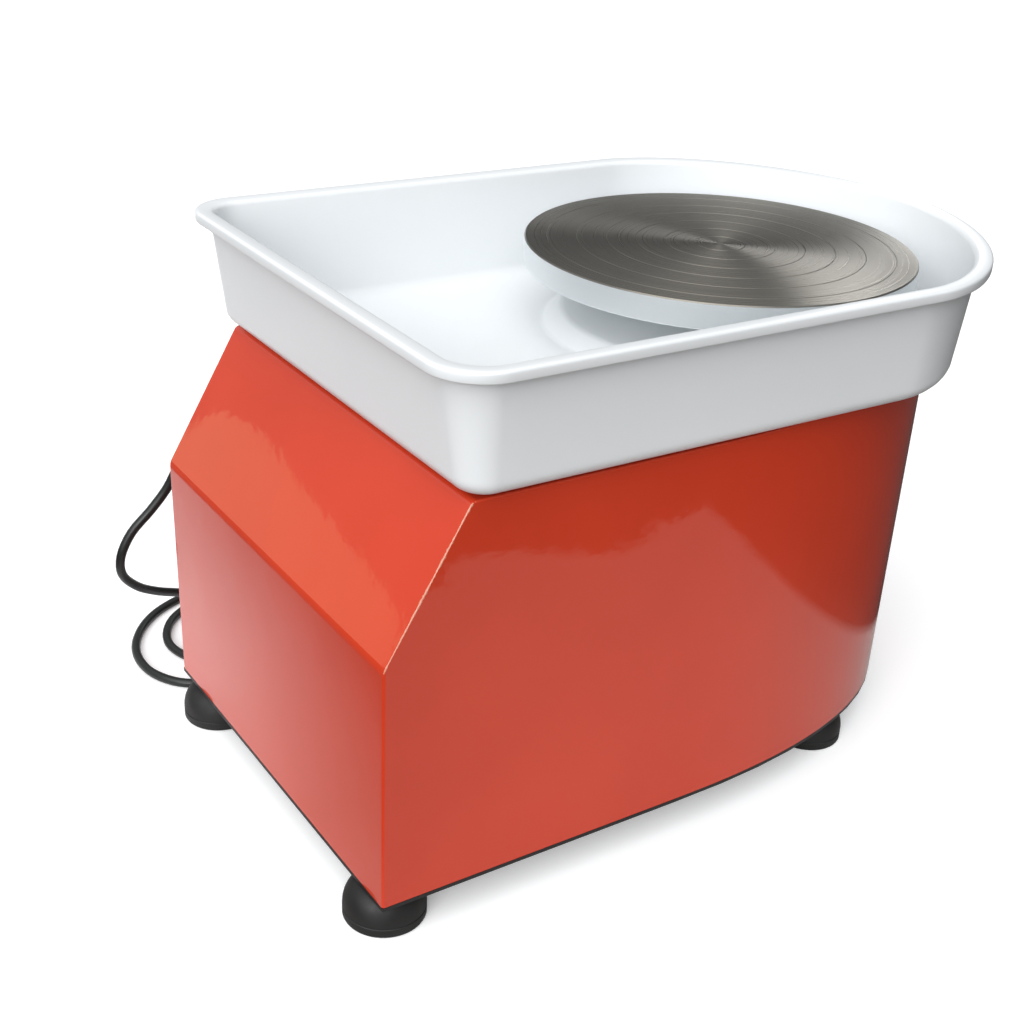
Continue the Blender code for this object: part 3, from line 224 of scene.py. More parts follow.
# chips come in patches, and they are where the bend is nearer than a ragged width;
# that width never falls below its least, so the primer colour also paints a thin
# continuous highlight line along the slanted end's bends
chip_noise = noise(tree, where, 1.5, 5.0, Roughness=0.75)
chip_patch = noise(tree, where, 22, 2.0)
chip_sum = calc(tree, "MULTIPLY_ADD", chip_patch, PATCH_SHARE, chip_noise)
chip_and_highlight_width = remap(tree, chip_sum, CHIP_NOISE_SPAN, CHIP_AND_HIGHLIGHT_REACH)
chips_and_edge_highlight = calc(tree, "LESS_THAN", bend_reach, chip_and_highlight_width)
tree.links.new(blend(tree, chips_and_edge_highlight, tone, PRIMER_AND_EDGE_HIGHLIGHT), shader.inputs["Base Color"])
peel = noise(tree, where, 7.0, 2.0, Roughness=0.45)
sag = noise(tree, where, 45, 1.0)
relief = calc(tree, "MULTIPLY_ADD", sag, SAG_SHARE, peel)
bump = add(tree, "Bump", {"Height": relief, "Distance": PEEL_DEPTH, "Strength": PEEL_STRENGTH})
for socket in ("Normal", "Coat Normal"):
    tree.links.new(bump.outputs[0], shader.inputs[socket])

# %% [markdown]
# The basin is one injection moulding in white ABS. The tool was spark-eroded to a fine
# satin, so it has soft, broad highlights and a faint grain.

# %% White ABS
white_abs, tree, shader, where = new_material("moulded_abs_white", IOR=1.54)
grain = noise(tree, where, 1.2, 3.0)
flow = noise(tree, where, 120, 2.0)
tone = blend(tree, flow, colour("E9EDEF"), colour("F0F2F3"))
satin = remap(tree, grain, NOISE_SPAN, (0.30, 0.36))
dress(tree, shader, tone, satin, grain, 0.02, 0.35)

# %% [markdown]
# The wheel head is cast aluminium faced on a lathe. The tool leaves fine rings, which
# spread light across them, so bright streaks run out from the centre like spokes. The
# tangent points away from the spindle to give that, and the rings are also a fine bump.

# %% Turned aluminium
def turned_metal(name, dark, light, roughness, anisotropy, pitch):
    material, tree, shader, where = new_material(name, Metallic=1.0, Anisotropic=anisotropy)
    arm = vector_calc(tree, "SUBTRACT", where, SPINDLE)
    flat = vector_calc(tree, "MULTIPLY", arm, (1.0, 1.0, 0.0))
    tree.links.new(vector_calc(tree, "NORMALIZE", flat), shader.inputs["Tangent"])
    radius = vector_calc(tree, "LENGTH", flat)
    rings = add(
        tree, "TexNoise", {"W": radius, "Scale": per_mm(pitch), "Detail": 3.0}, noise_dimensions="1D"
    ).outputs["Fac"]
    tone = two_tones(tree, rings, colour(dark), colour(light), NOISE_SPAN)
    rough = remap(tree, rings, NOISE_SPAN, uneven(roughness))
    dress(tree, shader, tone, rough, rings, 0.02, 0.6)
    return material


# one aluminium in two copies: the face's is painted darker as painted shade, the rim's lighter as painted
# light
shaded_face_aluminium = turned_metal("shaded_face_aluminium", "7F7B73", "928E86", 0.31, 0.9, 0.9)
lit_copy_aluminium = turned_metal("turned_aluminium_lit_copy", "D9DDDE", "F0F3F4", 0.34, 0.3, 1.4)

# %% [markdown]
# The small parts take plainer finishes: powder coat, zinc plate, ground steel, rubber,
# black moulded plastic and PVC. One loop makes them from their real colours and grain.

# %% Small-part finishes
SMALL_FINISHES = {
    # slot: (name, dark tone, light tone, metallic, roughness, grain in mm, relief in mm)
    "black_steel": ("powder_coat_black", "0E0F10", "1B1C1D", 0.0, 0.45, 0.8, 0.05),
    "zinc_steel": ("zinc_plate", "9A9CA2", "B9BBC0", 1.0, 0.32, 2.0, 0.01),
    "ground_steel": ("ground_steel", "A5A5A8", "C9C9CC", 1.0, 0.20, 0.6, 0.01),
    "motor_grey": ("cast_grey_paint", "43464A", "54575B", 0.0, 0.50, 1.5, 0.08),
    "black_rubber": ("moulded_rubber", "0D0D0D", "1A1A19", 0.0, 0.55, 0.9, 0.04),
    "black_plastic": ("moulded_plastic_black", "101112", "1B1C1D", 0.0, 0.38, 0.7, 0.02),
    "board_laminate": ("board_laminate", "145A33", "1C7040", 0.0, 0.35, 1.2, 0.01),
    "cord_pvc": ("pvc_sheath", "101211", "1D201E", 0.0, 0.36, 1.0, 0.02),
}
WEAR_SIZE = 12  # wear is this many times broader than grain
finishes = {"orange_paint": enamel, "white_abs": white_abs, "turned_aluminium": lit_copy_aluminium}
for slot_name, finish in SMALL_FINISHES.items():
    name, dark, light, metallic, roughness, grain_mm, relief_mm = finish
    material, tree, shader, where = new_material(name, Metallic=metallic)
    grain = noise(tree, where, grain_mm, 3.0)
    wear = noise(tree, where, grain_mm * WEAR_SIZE, 4.0)
    tone = blend(tree, wear, colour(dark), colour(light))
    rough = remap(tree, wear, NOISE_SPAN, uneven(roughness))
    dress(tree, shader, tone, rough, grain, relief_mm, 0.6)
    finishes[slot_name] = material
for node_name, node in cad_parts.items():
    slot_name = node.material_slots[0].material.name.split(".")[0]
    node.material_slots[0].material = finishes[slot_name]
print(len(finishes), "finishes on", len(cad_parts), "frame nodes")

# %% [markdown]
# Most pieces here are made the way a maker would turn or press them: a ring of points
# is drawn, extruded to the next ring, and so on along the section. Each ring may be
# round, as on a lathe, or follow a plan, as in a moulding tool.

# %% Helpers for shapes
def edit(piece):
    """Puts one piece in edit mode and gives its mesh as editable geometry."""
    bpy.ops.object.select_all(action="DESELECT")
    bpy.context.view_layer.objects.active = piece
    piece.select_set(True)
    bpy.ops.object.mode_set(mode="EDIT")
    return bmesh.from_edit_mesh(piece.data)


def pick(piece, test, kind="verts"):
    """Selects the vertices, edges or faces that pass a test on the open mesh."""
    bpy.ops.mesh.select_mode(type={"verts": "VERT", "edges": "EDGE", "faces": "FACE"}[kind])
    bpy.ops.mesh.select_all(action="DESELECT")
    shape = bmesh.from_edit_mesh(piece.data)
    for part in getattr(shape, kind):
        if test(part):
            part.select_set(True)
    shape.select_flush_mode()
    bmesh.update_edit_mesh(piece.data)


def ring_stack(name, rings, close="none"):
    """Extrudes a ring of points through a list of rings, then closes the ends or joins them."""
    bpy.ops.object.select_all(action="DESELECT")
    bpy.ops.mesh.primitive_circle_add(vertices=len(rings[0]), radius=0.01, fill_type="NOTHING")
    piece = bpy.context.object
    piece.name = piece.data.name = name
    shape = edit(piece)
    station = shape.verts.layers.int.new("station")
    shape.verts.ensure_lookup_table()
    walk, vert, edge = [], shape.verts[0], shape.verts[0].link_edges[0]
    for _ in range(len(rings[0])):
        walk.append(vert)
        vert = edge.other_vert(vert)
        edge = next(e for e in vert.link_edges if e is not edge)
    for i, vert in enumerate(walk):
        vert[station] = i
        vert.co = rings[0][i]
    bmesh.update_edit_mesh(piece.data)
    bpy.ops.mesh.select_all(action="SELECT")
    for ring in rings[1:]:
        bpy.ops.mesh.extrude_region()
        shape = bmesh.from_edit_mesh(piece.data)
        station = shape.verts.layers.int["station"]
        for vert in shape.verts:
            if vert.select:
                vert.co = ring[vert[station]]
        bmesh.update_edit_mesh(piece.data)
    if close == "join":
        pick(piece, lambda e: e.is_boundary, "edges")
        bpy.ops.mesh.bridge_edge_loops()
    elif close == "ends":
        for end in (rings[0], rings[-1]):
            tops = {tuple(round(c, 6) for c in point) for point in end}
            pick(piece, lambda v: tuple(round(c, 6) for c in v.co) in tops)
            bpy.ops.mesh.extrude_region()
            bpy.ops.mesh.merge(type="CENTER")
    bpy.ops.mesh.select_all(action="SELECT")
    bpy.ops.mesh.normals_make_consistent(inside=False)
    bpy.ops.object.mode_set(mode="OBJECT")
    piece.data.attributes.remove(piece.data.attributes["station"])
    return piece


def lathe(name, profile, centre, steps=64, axis="Z", close="ends"):
    """A ring stack of round rings. The profile is a list of (radius, height)."""
    rings = []
    for radius, height in profile:
        ring = []
        for i in range(steps):
            u = radius * math.cos(math.tau * i / steps)
            v = radius * math.sin(math.tau * i / steps)
            offset = {"Z": (u, v, height), "Y": (u, height, v), "X": (height, u, v)}[axis]
            ring.append(Vector(centre) + Vector(offset))
        rings.append(ring)
    return ring_stack(name, rings, close)


def arc(centre_u, centre_v, radius, start, end, steps):
    """Points of an arc in a section, for rounding an edge."""
    return [
        (centre_u + radius * math.cos(math.radians(start + (end - start) * i / steps)),
         centre_v + radius * math.sin(math.radians(start + (end - start) * i / steps)))
        for i in range(steps + 1)
    ]


def apply_modifier(piece, kind, **settings):
    bpy.ops.object.select_all(action="DESELECT")
    bpy.context.view_layer.objects.active = piece
    piece.select_set(True)
    modifier = piece.modifiers.new(kind.lower(), kind)
    for key, value in settings.items():
        setattr(modifier, key, value)
    bpy.ops.object.modifier_apply(modifier=modifier.name)


def cut(piece, cutter):
    """Takes a cutter's volume out of a piece, and the cutter away."""
    apply_modifier(piece, "BOOLEAN", operation="DIFFERENCE", solver="EXACT", object=cutter)
    bpy.data.objects.remove(cutter)


def superellipse(turn, power):
    """How far along and across a rounded nose a turn has come, for a nose of size one."""
    along = abs(math.cos(turn)) ** (2 / power)
    across = math.copysign(abs(math.sin(turn)) ** (2 / power), turn)
    return along, across


def finish_piece(piece, material, body, replaced=(), angle=35):
    """Smooth shading, one material, a body to ride on, and the frame nodes it stands for."""
    bpy.ops.object.select_all(action="DESELECT")
    bpy.context.view_layer.objects.active = piece
    piece.select_set(True)
    bpy.ops.object.transform_apply(location=True, rotation=True, scale=True)
    bpy.ops.object.shade_smooth_by_angle(angle=math.radians(angle))
    piece.data.materials.clear()
    piece.data.materials.append(material)
    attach(piece, body)
    if replaced:
        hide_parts(*replaced)
    print(piece.name, len(piece.data.polygons), "faces")
    return piece


# %% [markdown]
# The mains lead is about 1.6 m of round PVC cable, 6.5 mm thick. It leaves the gland
# near the slanted end, sags to the table, lies in two loose turns, and its spare length
# is wound in a small coil held by a tie, with the plug beside it.

# %% Mains lead
CORD_DIAMETER = 6.5 * MM
ON_TABLE = CORD_DIAMETER / 2
CORD_ROUTE = [
    (-0.2087, 0.1694, 0.1720), (-0.2091, 0.1815, 0.1712), (-0.2155, 0.1940, 0.1590),
    (-0.2245, 0.1995, 0.1390), (-0.2365, 0.2015, 0.1240), (-0.2510, 0.2030, 0.1090),
    (-0.2595, 0.2040, 0.0920), (-0.2585, 0.2080, 0.0760), (-0.2475, 0.2140, 0.0610),
    (-0.2297, 0.2240, 0.0470), (-0.2007, 0.2370, 0.0310), (-0.1707, 0.2410, 0.0160),
    (-0.1457, 0.2320, 0.0065), (-0.1327, 0.2110, ON_TABLE), (-0.1407, 0.1860, ON_TABLE),
    (-0.1657, 0.1720, ON_TABLE), (-0.1957, 0.1740, ON_TABLE), (-0.2177, 0.1920, ON_TABLE),
    (-0.2247, 0.2180, ON_TABLE), (-0.2127, 0.2470, ON_TABLE), (-0.1867, 0.2660, ON_TABLE),
    (-0.1537, 0.2690, ON_TABLE), (-0.1227, 0.2520, ON_TABLE), (-0.1077, 0.2220, ON_TABLE),
    (-0.1137, 0.1880, ON_TABLE), (-0.1367, 0.1620, ON_TABLE), (-0.1707, 0.1525, ON_TABLE),
    (-0.2067, 0.1525, ON_TABLE), (-0.2347, 0.1620, ON_TABLE), (-0.2497, 0.1850, ON_TABLE),
    (-0.2507, 0.2150, ON_TABLE), (-0.2387, 0.2430, ON_TABLE), (-0.2157, 0.2670, ON_TABLE),
    (-0.1827, 0.2820, ON_TABLE), (-0.1457, 0.2870, ON_TABLE), (-0.1077, 0.2860, 0.0040),
    (-0.0731, 0.2850, 0.0048),
]
COIL_CENTRE, COIL_RADIUS, COIL_TURNS, COIL_LOW = Vector((-0.0505, 0.2490)), 0.036, 2, 0.00485
COIL_STEPS = 16
TAIL_ROUTE = [
    (-0.0279, 0.2850, 0.0150), (-0.0135, 0.2850, 0.0115), (0.0015, 0.2850, 0.0095),
    (0.0034, 0.2850, 0.0095),
]
coil_route = []
for i in range(COIL_TURNS * COIL_STEPS + 1):
    angle = math.pi / 2 - math.tau * i / COIL_STEPS
    coil_route.append((
        COIL_CENTRE.x + COIL_RADIUS * math.cos(angle), COIL_CENTRE.y + COIL_RADIUS * math.sin(angle),
        COIL_LOW + CORD_DIAMETER * i / COIL_STEPS,
    ))


def smooth_route(route, spacing):
    """Evenly spaced points on a smooth curve through a route's own points."""
    points = [Vector(p) for p in route]
    points = [2 * points[0] - points[1], *points, 2 * points[-1] - points[-2]]
    dense = []
    for a, b, c, d in zip(points, points[1:], points[2:], points[3:]):
        t1 = (b - a).length ** 0.5
        t2 = t1 + (c - b).length ** 0.5
        t3 = t2 + (d - c).length ** 0.5
        for i in range(12):
            t = t1 + (t2 - t1) * i / 12
            p1 = a * (t1 - t) / t1 + b * t / t1
            p2 = b * (t2 - t) / (t2 - t1) + c * (t - t1) / (t2 - t1)
            p3 = c * (t3 - t) / (t3 - t2) + d * (t - t2) / (t3 - t2)
            q1 = p1 * (t2 - t) / t2 + p2 * t / t2
            q2 = p2 * (t3 - t) / (t3 - t1) + p3 * (t - t1) / (t3 - t1)
            dense.append(q1 * (t2 - t) / (t2 - t1) + q2 * (t - t1) / (t2 - t1))
    dense.append(points[-2])
    even, since = [dense[0]], 0.0
    for a, b in zip(dense, dense[1:]):
        since += (b - a).length
        if since >= spacing:
            even.append(b)
            since = 0.0
    if (even[-1] - dense[-1]).length > spacing / 2:
        even.append(dense[-1])
    for point in even:
        point.z = max(point.z, ON_TABLE)
    return even


lead_points = smooth_route(CORD_ROUTE + coil_route + TAIL_ROUTE, 4 * MM)
curve = bpy.data.curves.new("mains_lead", "CURVE")
curve.dimensions = "3D"
curve.bevel_depth = CORD_DIAMETER / 2
curve.bevel_resolution = 4
curve.use_fill_caps = True
spline = curve.splines.new("POLY")
spline.points.add(len(lead_points) - 1)
for point, at in zip(spline.points, lead_points):
    point.co = (*at, 1.0)
spline.use_smooth = True
curve.materials.append(finishes["cord_pvc"])
mains_lead = bpy.data.objects.new("mains_lead", curve)
bpy.context.scene.collection.objects.link(mains_lead)
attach(mains_lead, "frame")
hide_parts("mains_cord", "cord_coil", "cord_tail")

# %% [markdown]
# The housing is a sheet-steel wrap with one square, slanted end and one rounded end. A
# ring of points gives its plan, the face is extruded up, and a bisect takes off the
# slant. The bends then get their radii, and a solidify gives the sheet its thickness.

# %% Housing
NOSE_LENGTH, NOSE_POWER, NOSE_POINTS = 265.0 * MM, 2.4, 96
SHEET, BEND = 1.5 * MM, 3.0 * MM
UPRIGHT, SLANT_SIDE, SLANT_CROSS, TOP_BEND = 0.6, 0.22, 1.0, 0.5  # shares of BEND
PANEL_LAP, GLAND_HOLE, SPINDLE_HOLE = 7 * MM, 7.3 * MM, 20 * MM
TINY = 1e-5
nose_start = NOSE_X - NOSE_LENGTH
plan = [(END_X, SIDE_Y), (END_X, -SIDE_Y), (nose_start - 1 * MM, -SIDE_Y)]
for i in range(NOSE_POINTS + 1):
    along, across = superellipse(-math.pi / 2 + math.pi * i / NOSE_POINTS, NOSE_POWER)
    plan.append((nose_start + NOSE_LENGTH * along, SIDE_Y * across))
plan.append((nose_start - 1 * MM, SIDE_Y))
housing = ring_stack(
    "painted_housing", [[(x, y, z) for x, y in plan] for z in (shell_low.z, shell_high.z)]
)
edit(housing)
pick(housing, lambda e: all(abs(v.co.z - shell_high.z) < 1e-6 for v in e.verts), "edges")
bpy.ops.mesh.edge_face_add()
slant_normal = Vector((-(shell_high.z - SLANT_START), 0, SLANT_SETBACK)).normalized()
bpy.ops.mesh.select_all(action="SELECT")
bpy.ops.mesh.bisect(
    plane_co=(END_X, 0, SLANT_START), plane_no=slant_normal, use_fill=True, clear_outer=True,
    clear_inner=False
)
bpy.ops.mesh.select_all(action="SELECT")
bpy.ops.mesh.remove_doubles(threshold=1e-6)
bpy.ops.mesh.normals_make_consistent(inside=False)
bpy.ops.object.mode_set(mode="OBJECT")

weights = housing.data.attributes.new("bevel_weight_edge", "FLOAT", "EDGE")
for edge in housing.data.edges:
    a, b = (housing.data.vertices[i].co for i in edge.vertices)
    middle = (a + b) / 2
    at_side = abs(abs(middle.y) - SIDE_Y) < TINY
    on_slant = abs((middle - Vector((END_X, 0, SLANT_START))).dot(slant_normal)) < TINY
    if at_side and abs(middle.x - END_X) < TINY and middle.z < SLANT_START:
        weights.data[edge.index].value = UPRIGHT
    elif on_slant and at_side:
        weights.data[edge.index].value = SLANT_SIDE
    elif on_slant and abs(a.y - b.y) > 0.1:
        weights.data[edge.index].value = SLANT_CROSS
    elif middle.z > shell_high.z - TINY:
        weights.data[edge.index].value = TOP_BEND
apply_modifier(housing, "BEVEL", width=BEND, segments=4, limit_method="WEIGHT", profile=0.5)
apply_modifier(housing, "SOLIDIFY", thickness=SHEET, offset=-1.0, use_even_offset=True)


def cutter_box(low, high):
    bpy.ops.mesh.primitive_cube_add(size=1, location=(Vector(low) + Vector(high)) / 2)
    bpy.context.object.scale = Vector(high) - Vector(low)
    return bpy.context.object


def cutter_rod(centre, radius, length, along_y=False):
    turn = (math.pi / 2, 0, 0) if along_y else (0, 0, 0)
    bpy.ops.mesh.primitive_cylinder_add(
        vertices=48, radius=radius, depth=length, location=centre, rotation=turn
    )
    return bpy.context.object


cut(housing, cutter_box((panel_low.x + PANEL_LAP, SIDE_Y - 0.01, panel_low.z + PANEL_LAP),
                        (panel_high.x - PANEL_LAP, SIDE_Y + 0.01, panel_high.z - PANEL_LAP)))
gland_x, gland_z = (gland_low.x + gland_high.x) / 2, (gland_low.z + gland_high.z) / 2
cut(housing, cutter_rod((gland_x, SIDE_Y, gland_z), GLAND_HOLE, 0.02, along_y=True))
cut(housing, cutter_rod((SPINDLE.x, 0, shell_high.z), SPINDLE_HOLE, 0.02))
finish_piece(housing, enamel, "frame", ["housing_shell"], angle=30)
# flat sheet must reflect as flat sheet, so the large faces decide the normals
apply_modifier(housing, "WEIGHTED_NORMAL", keep_sharp=True, weight=100)

# %% [markdown]
# The basin is a deep tray with drafted walls, generous fillets, and a rolled rim. Its
# floor rises to a round plateau under the wheel head, with a collar that keeps slip off
# the bearing. Each ring of its section follows the tray's plan, drawn in by an inset.

# %% Basin
BASIN_HALF = (rim_high.y - rim_low.y) / 2
RIM, UNDER, WALL, LIP, LIP_WIDTH = rim_high.z, rim_low.z, 3.0 * MM, 6.4 * MM, 8.5 * MM
DRAFT, SIDE_DRAFT, FILLET, CORNER, TAPER = 8.0 * MM, 3.5 * MM, 7.0 * MM, 31.0 * MM, 0.8
BASIN_NOSE, BASIN_POWER = 144.7 * MM, 1.81
END_STEPS, CORNER_STEPS, SIDE_STEPS, NOSE_STEPS = 16, 14, 20, 96


def basin_plan(inset, widen=0.0):
    """The tray's outline, drawn in by an inset, with its long sides moved out by widen."""
    half, low_x = BASIN_HALF - inset + widen, rim_low.x + inset
    nose_x = rim_high.x - BASIN_NOSE
    radius = CORNER - TAPER * inset
    outline = []
    for i in range(END_STEPS):
        outline.append((low_x, (half - radius) * (1 - 2 * (i + 1) / (END_STEPS + 1))))
    for i in range(CORNER_STEPS + 1):
        turn = math.pi + math.pi / 2 * i / CORNER_STEPS
        outline.append((low_x + radius + radius * math.cos(turn), -half + radius + radius * math.sin(turn)))
    for i in range(SIDE_STEPS):
        side_x = low_x + radius + (nose_x - low_x - radius) * (i + 1) / (SIDE_STEPS + 1)
        outline.append((side_x, -half))
    for i in range(NOSE_STEPS + 1):
        along, across = superellipse(-math.pi / 2 + math.pi * i / NOSE_STEPS, BASIN_POWER)
        outline.append((nose_x + (BASIN_NOSE - inset) * along, half * across))
    for i in range(SIDE_STEPS):
        side_x = nose_x - (nose_x - low_x - radius) * (i + 1) / (SIDE_STEPS + 1)
        outline.append((side_x, half))
    for i in range(CORNER_STEPS + 1):
        turn = math.pi / 2 + math.pi / 2 * i / CORNER_STEPS
        outline.append((low_x + radius + radius * math.cos(turn), half - radius + radius * math.sin(turn)))
    return outline


bearings = [math.atan2(y, x - SPINDLE.x) for x, y in basin_plan(0.0)]


def round_ring(radius, z):
    return [(SPINDLE.x + radius * math.cos(a), radius * math.sin(a), z) for a in bearings]


def plan_ring(inset, z):
    """A ring on the plan. The long sides have less draft, so low rings stand out wider there."""
    depth = min(max((RIM - 8 * MM - z) / (RIM - 8 * MM - UNDER - 9 * MM), 0.0), 1.0)
    return [(x, y, z) for x, y in basin_plan(inset, (DRAFT - SIDE_DRAFT) * depth)]


floor_z, plateau, collar_top = UNDER + WALL, UNDER + WALL + 10 * MM, UNDER + WALL + 31.6 * MM
wall_in = LIP_WIDTH + WALL
rings = [round_ring(r, z) for r, z in (
    (29.0 * MM, collar_top - 0.8 * MM), (29.8 * MM, collar_top), (31.2 * MM, collar_top),
    (32.0 * MM, collar_top - 0.8 * MM), (32.2 * MM, plateau + 4 * MM), (33.2 * MM, plateau + 1.2 * MM),
    (36.0 * MM, plateau), (97.0 * MM, plateau), (100.0 * MM, plateau - 0.4 * MM),
    (102.0 * MM, plateau - 1.4 * MM),
    (110.0 * MM, floor_z + 1.4 * MM), (112.0 * MM, floor_z + 0.4 * MM), (114.5 * MM, floor_z),
)]
for inset, z in arc(wall_in + DRAFT + FILLET, floor_z + FILLET, FILLET, 270, 180, 6):
    rings.append(plan_ring(inset, z))
section = [
    (wall_in + 0.2 * MM, RIM - 8.0 * MM),
    *arc(wall_in - 3.0 * MM, RIM - 3.4 * MM, 3.0 * MM, 0, 90, 5),
    (5.6 * MM, RIM - 0.05 * MM), (3.2 * MM, RIM),
    *arc(1.8 * MM, RIM - 1.8 * MM, 1.8 * MM, 90, 180, 5),
    (0.0, RIM - LIP + 0.8 * MM), (0.25 * MM, RIM - LIP + 0.2 * MM), (0.8 * MM, RIM - LIP),
    (1.8 * MM, RIM - LIP), (2.2 * MM, RIM - LIP + 0.5 * MM), (2.6 * MM, RIM - 3.2 * MM),
    (LIP_WIDTH - 2.0 * MM, RIM - 3.4 * MM), (LIP_WIDTH - 0.4 * MM, RIM - 4.2 * MM),
    (LIP_WIDTH, RIM - 6.6 * MM),
]
rings += [plan_ring(inset, z) for inset, z in section]
outer_fillet = FILLET + WALL
for inset, z in arc(LIP_WIDTH + DRAFT + outer_fillet, UNDER + outer_fillet, outer_fillet, 180, 270, 7):
    rings.append(plan_ring(inset, z))
rings += [round_ring(r, z) for r, z in (
    (111.0 * MM, UNDER), (99.0 * MM, plateau - WALL), (36.0 * MM, plateau - WALL),
    (29.0 * MM, plateau - WALL),
)]
basin = ring_stack("splash_basin", rings, close="join")
finish_piece(basin, white_abs, "basin", ["basin"], angle=50)

# %% [markdown]
# The wheel head is turned in one setting. Shallow rings cut at even steps help to centre
# the clay, and a small chamfer breaks the edge. Its wide face and its rim catch light
# differently, so the face takes a copy of the aluminium painted darker as painted shade,
# and the rim a copy painted lighter as painted light.

# %% Wheel head
HEAD_TOP, HEAD_LOW = head_high.z, head_low.z
GROOVES = [r * MM for r in (16.0, 35.2, 54.2, 73.4, 92.5, 111.7)]
GROOVE_WIDTH, GROOVE_FLOOR, GROOVE_DEPTH, CHAMFER = 0.8 * MM, 0.2 * MM, 0.25 * MM, 0.8 * MM
CENTRE_HOLE, SKIRT, FACE = 2.0 * MM, 14 * MM, 9 * MM
profile = [(CENTRE_HOLE, HEAD_TOP)]
for groove in GROOVES:
    profile += [(groove - GROOVE_WIDTH / 2, HEAD_TOP), (groove - GROOVE_FLOOR / 2, HEAD_TOP - GROOVE_DEPTH),
                (groove + GROOVE_FLOOR / 2, HEAD_TOP - GROOVE_DEPTH), (groove + GROOVE_WIDTH / 2, HEAD_TOP)]
profile += [(HEAD_RADIUS - CHAMFER, HEAD_TOP), (HEAD_RADIUS, HEAD_TOP - CHAMFER),
            (HEAD_RADIUS, HEAD_LOW + CHAMFER), (HEAD_RADIUS - CHAMFER, HEAD_LOW),
            (HEAD_RADIUS - SKIRT, HEAD_LOW), (HEAD_RADIUS - SKIRT, HEAD_TOP - FACE),
            (CENTRE_HOLE, HEAD_TOP - FACE)]
wheel = lathe("turned_wheel_head", profile, SPINDLE, steps=192)
finish_piece(wheel, shaded_face_aluminium, "head", ["wheel_head"], angle=20)
# the rim and the underside take the lighter copy, painted light
wheel.data.materials.append(lit_copy_aluminium)
for face in wheel.data.polygons:
    if face.center.z < HEAD_TOP - 0.5 * MM:
        face.material_index = 1

# %% [markdown]
# Four moulded rubber feet lift the wheel off the table. Each is a dome on a straight band
# with a groove, hollow below, and one loop turns all four.

# %% Feet
DOME_CENTRE, DOME_LOW, DOME_STEPS = 13 * MM, 8 * MM, 8
FOOT_BORE, FOOT_WELL, WELL_TOP = 3.4 * MM, 8.5 * MM, 10 * MM
foot_nodes = sorted(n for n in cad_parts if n.startswith("foot_") and "screw" not in n)
for node_name in foot_nodes:
    low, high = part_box(node_name)
    centre = ((low.x + high.x) / 2, (low.y + high.y) / 2, 0)
    radius, top = (high.x - low.x) / 2, high.z
    dome = []
    for i in range(DOME_STEPS + 1):
        turn = math.pi / 2 * (1 - i / DOME_STEPS)
        dome.append((DOME_CENTRE + (radius - DOME_CENTRE) * math.cos(turn),
                     DOME_LOW + (top - DOME_LOW) * math.sin(turn)))
    profile = [(FOOT_BORE, top), (12.0 * MM, top), *dome, (radius, 7.4 * MM),
               (radius - 0.5 * MM, 7.0 * MM), (radius - 0.5 * MM, 6.4 * MM), (radius, 6.0 * MM),
               (radius, 1.6 * MM), (radius - 0.5 * MM, 0.6 * MM), (radius - 1.8 * MM, 0.0),
               (9.5 * MM, 0.0), (FOOT_WELL, 1.0 * MM), (FOOT_WELL, WELL_TOP), (FOOT_BORE, WELL_TOP)]
    foot = lathe("rubber_" + node_name, profile, centre, steps=64, close="join")
    finish_piece(foot, finishes["black_rubber"], "frame", [node_name])

# %% [markdown]
# The strain relief is a tapered rubber sleeve with soft ribs, so that the lead bends in
# a curve where it leaves the sheet metal.

# %% Cord gland
gland_tip = gland_high.y
CORD_BORE, SLEEVE, FLANGE, RIB_DEPTH, RIB_COUNT = 3.5 * MM, 7.0 * MM, 9.5 * MM, 0.9 * MM, 6
profile = [(CORD_BORE, gland_low.y), (SLEEVE, gland_low.y), (SLEEVE, SIDE_Y + 0.3 * MM),
           (9.2 * MM, SIDE_Y + 0.3 * MM), (FLANGE, SIDE_Y + 0.8 * MM), (FLANGE, SIDE_Y + 2.6 * MM),
           (8.8 * MM, SIDE_Y + 3.3 * MM)]
rib_start = SIDE_Y + 3.6 * MM
pitch = (gland_tip - 1 * MM - rib_start) / RIB_COUNT
for i in range(RIB_COUNT):
    at = rib_start + pitch * i
    radius = SLEEVE - 2.4 * MM * i / RIB_COUNT
    profile += [(radius, at), (radius, at + 0.62 * pitch), (radius - RIB_DEPTH, at + 0.7 * pitch),
                (radius - RIB_DEPTH, at + 0.92 * pitch)]
profile += [(4.5 * MM, gland_tip - 0.4 * MM), (4.1 * MM, gland_tip), (CORD_BORE, gland_tip)]
gland = lathe("cord_strain_relief", profile, (gland_x, 0, gland_z), steps=40, axis="Y")
finish_piece(gland, finishes["black_rubber"], "frame", ["cord_gland"])

# %% [markdown]
# The controls sit on a plate with a screw near each corner. The knob is ribbed for grip
# and has a white pointer, the fuse cap is slotted for a coin, and the pedal socket has
# an insert with five holes. The plate and the two rockers stay as the frame has them.

# %% Controls
def shaped_box(name, low, high, bevel, segments=3):
    bpy.ops.mesh.primitive_cube_add(size=1, location=(Vector(low) + Vector(high)) / 2)
    piece = bpy.context.object
    piece.name = piece.data.name = name
    piece.scale = Vector(high) - Vector(low)
    bpy.ops.object.transform_apply(location=True, rotation=True, scale=True)
    apply_modifier(piece, "BEVEL", width=bevel, segments=segments, limit_method="ANGLE")
    return piece


def joined(name, pieces):
    bpy.ops.object.select_all(action="DESELECT")
    for piece in pieces:
        piece.select_set(True)
    bpy.context.view_layer.objects.active = pieces[0]
    bpy.ops.object.join()
    pieces[0].name = pieces[0].data.name = name
    return pieces[0]


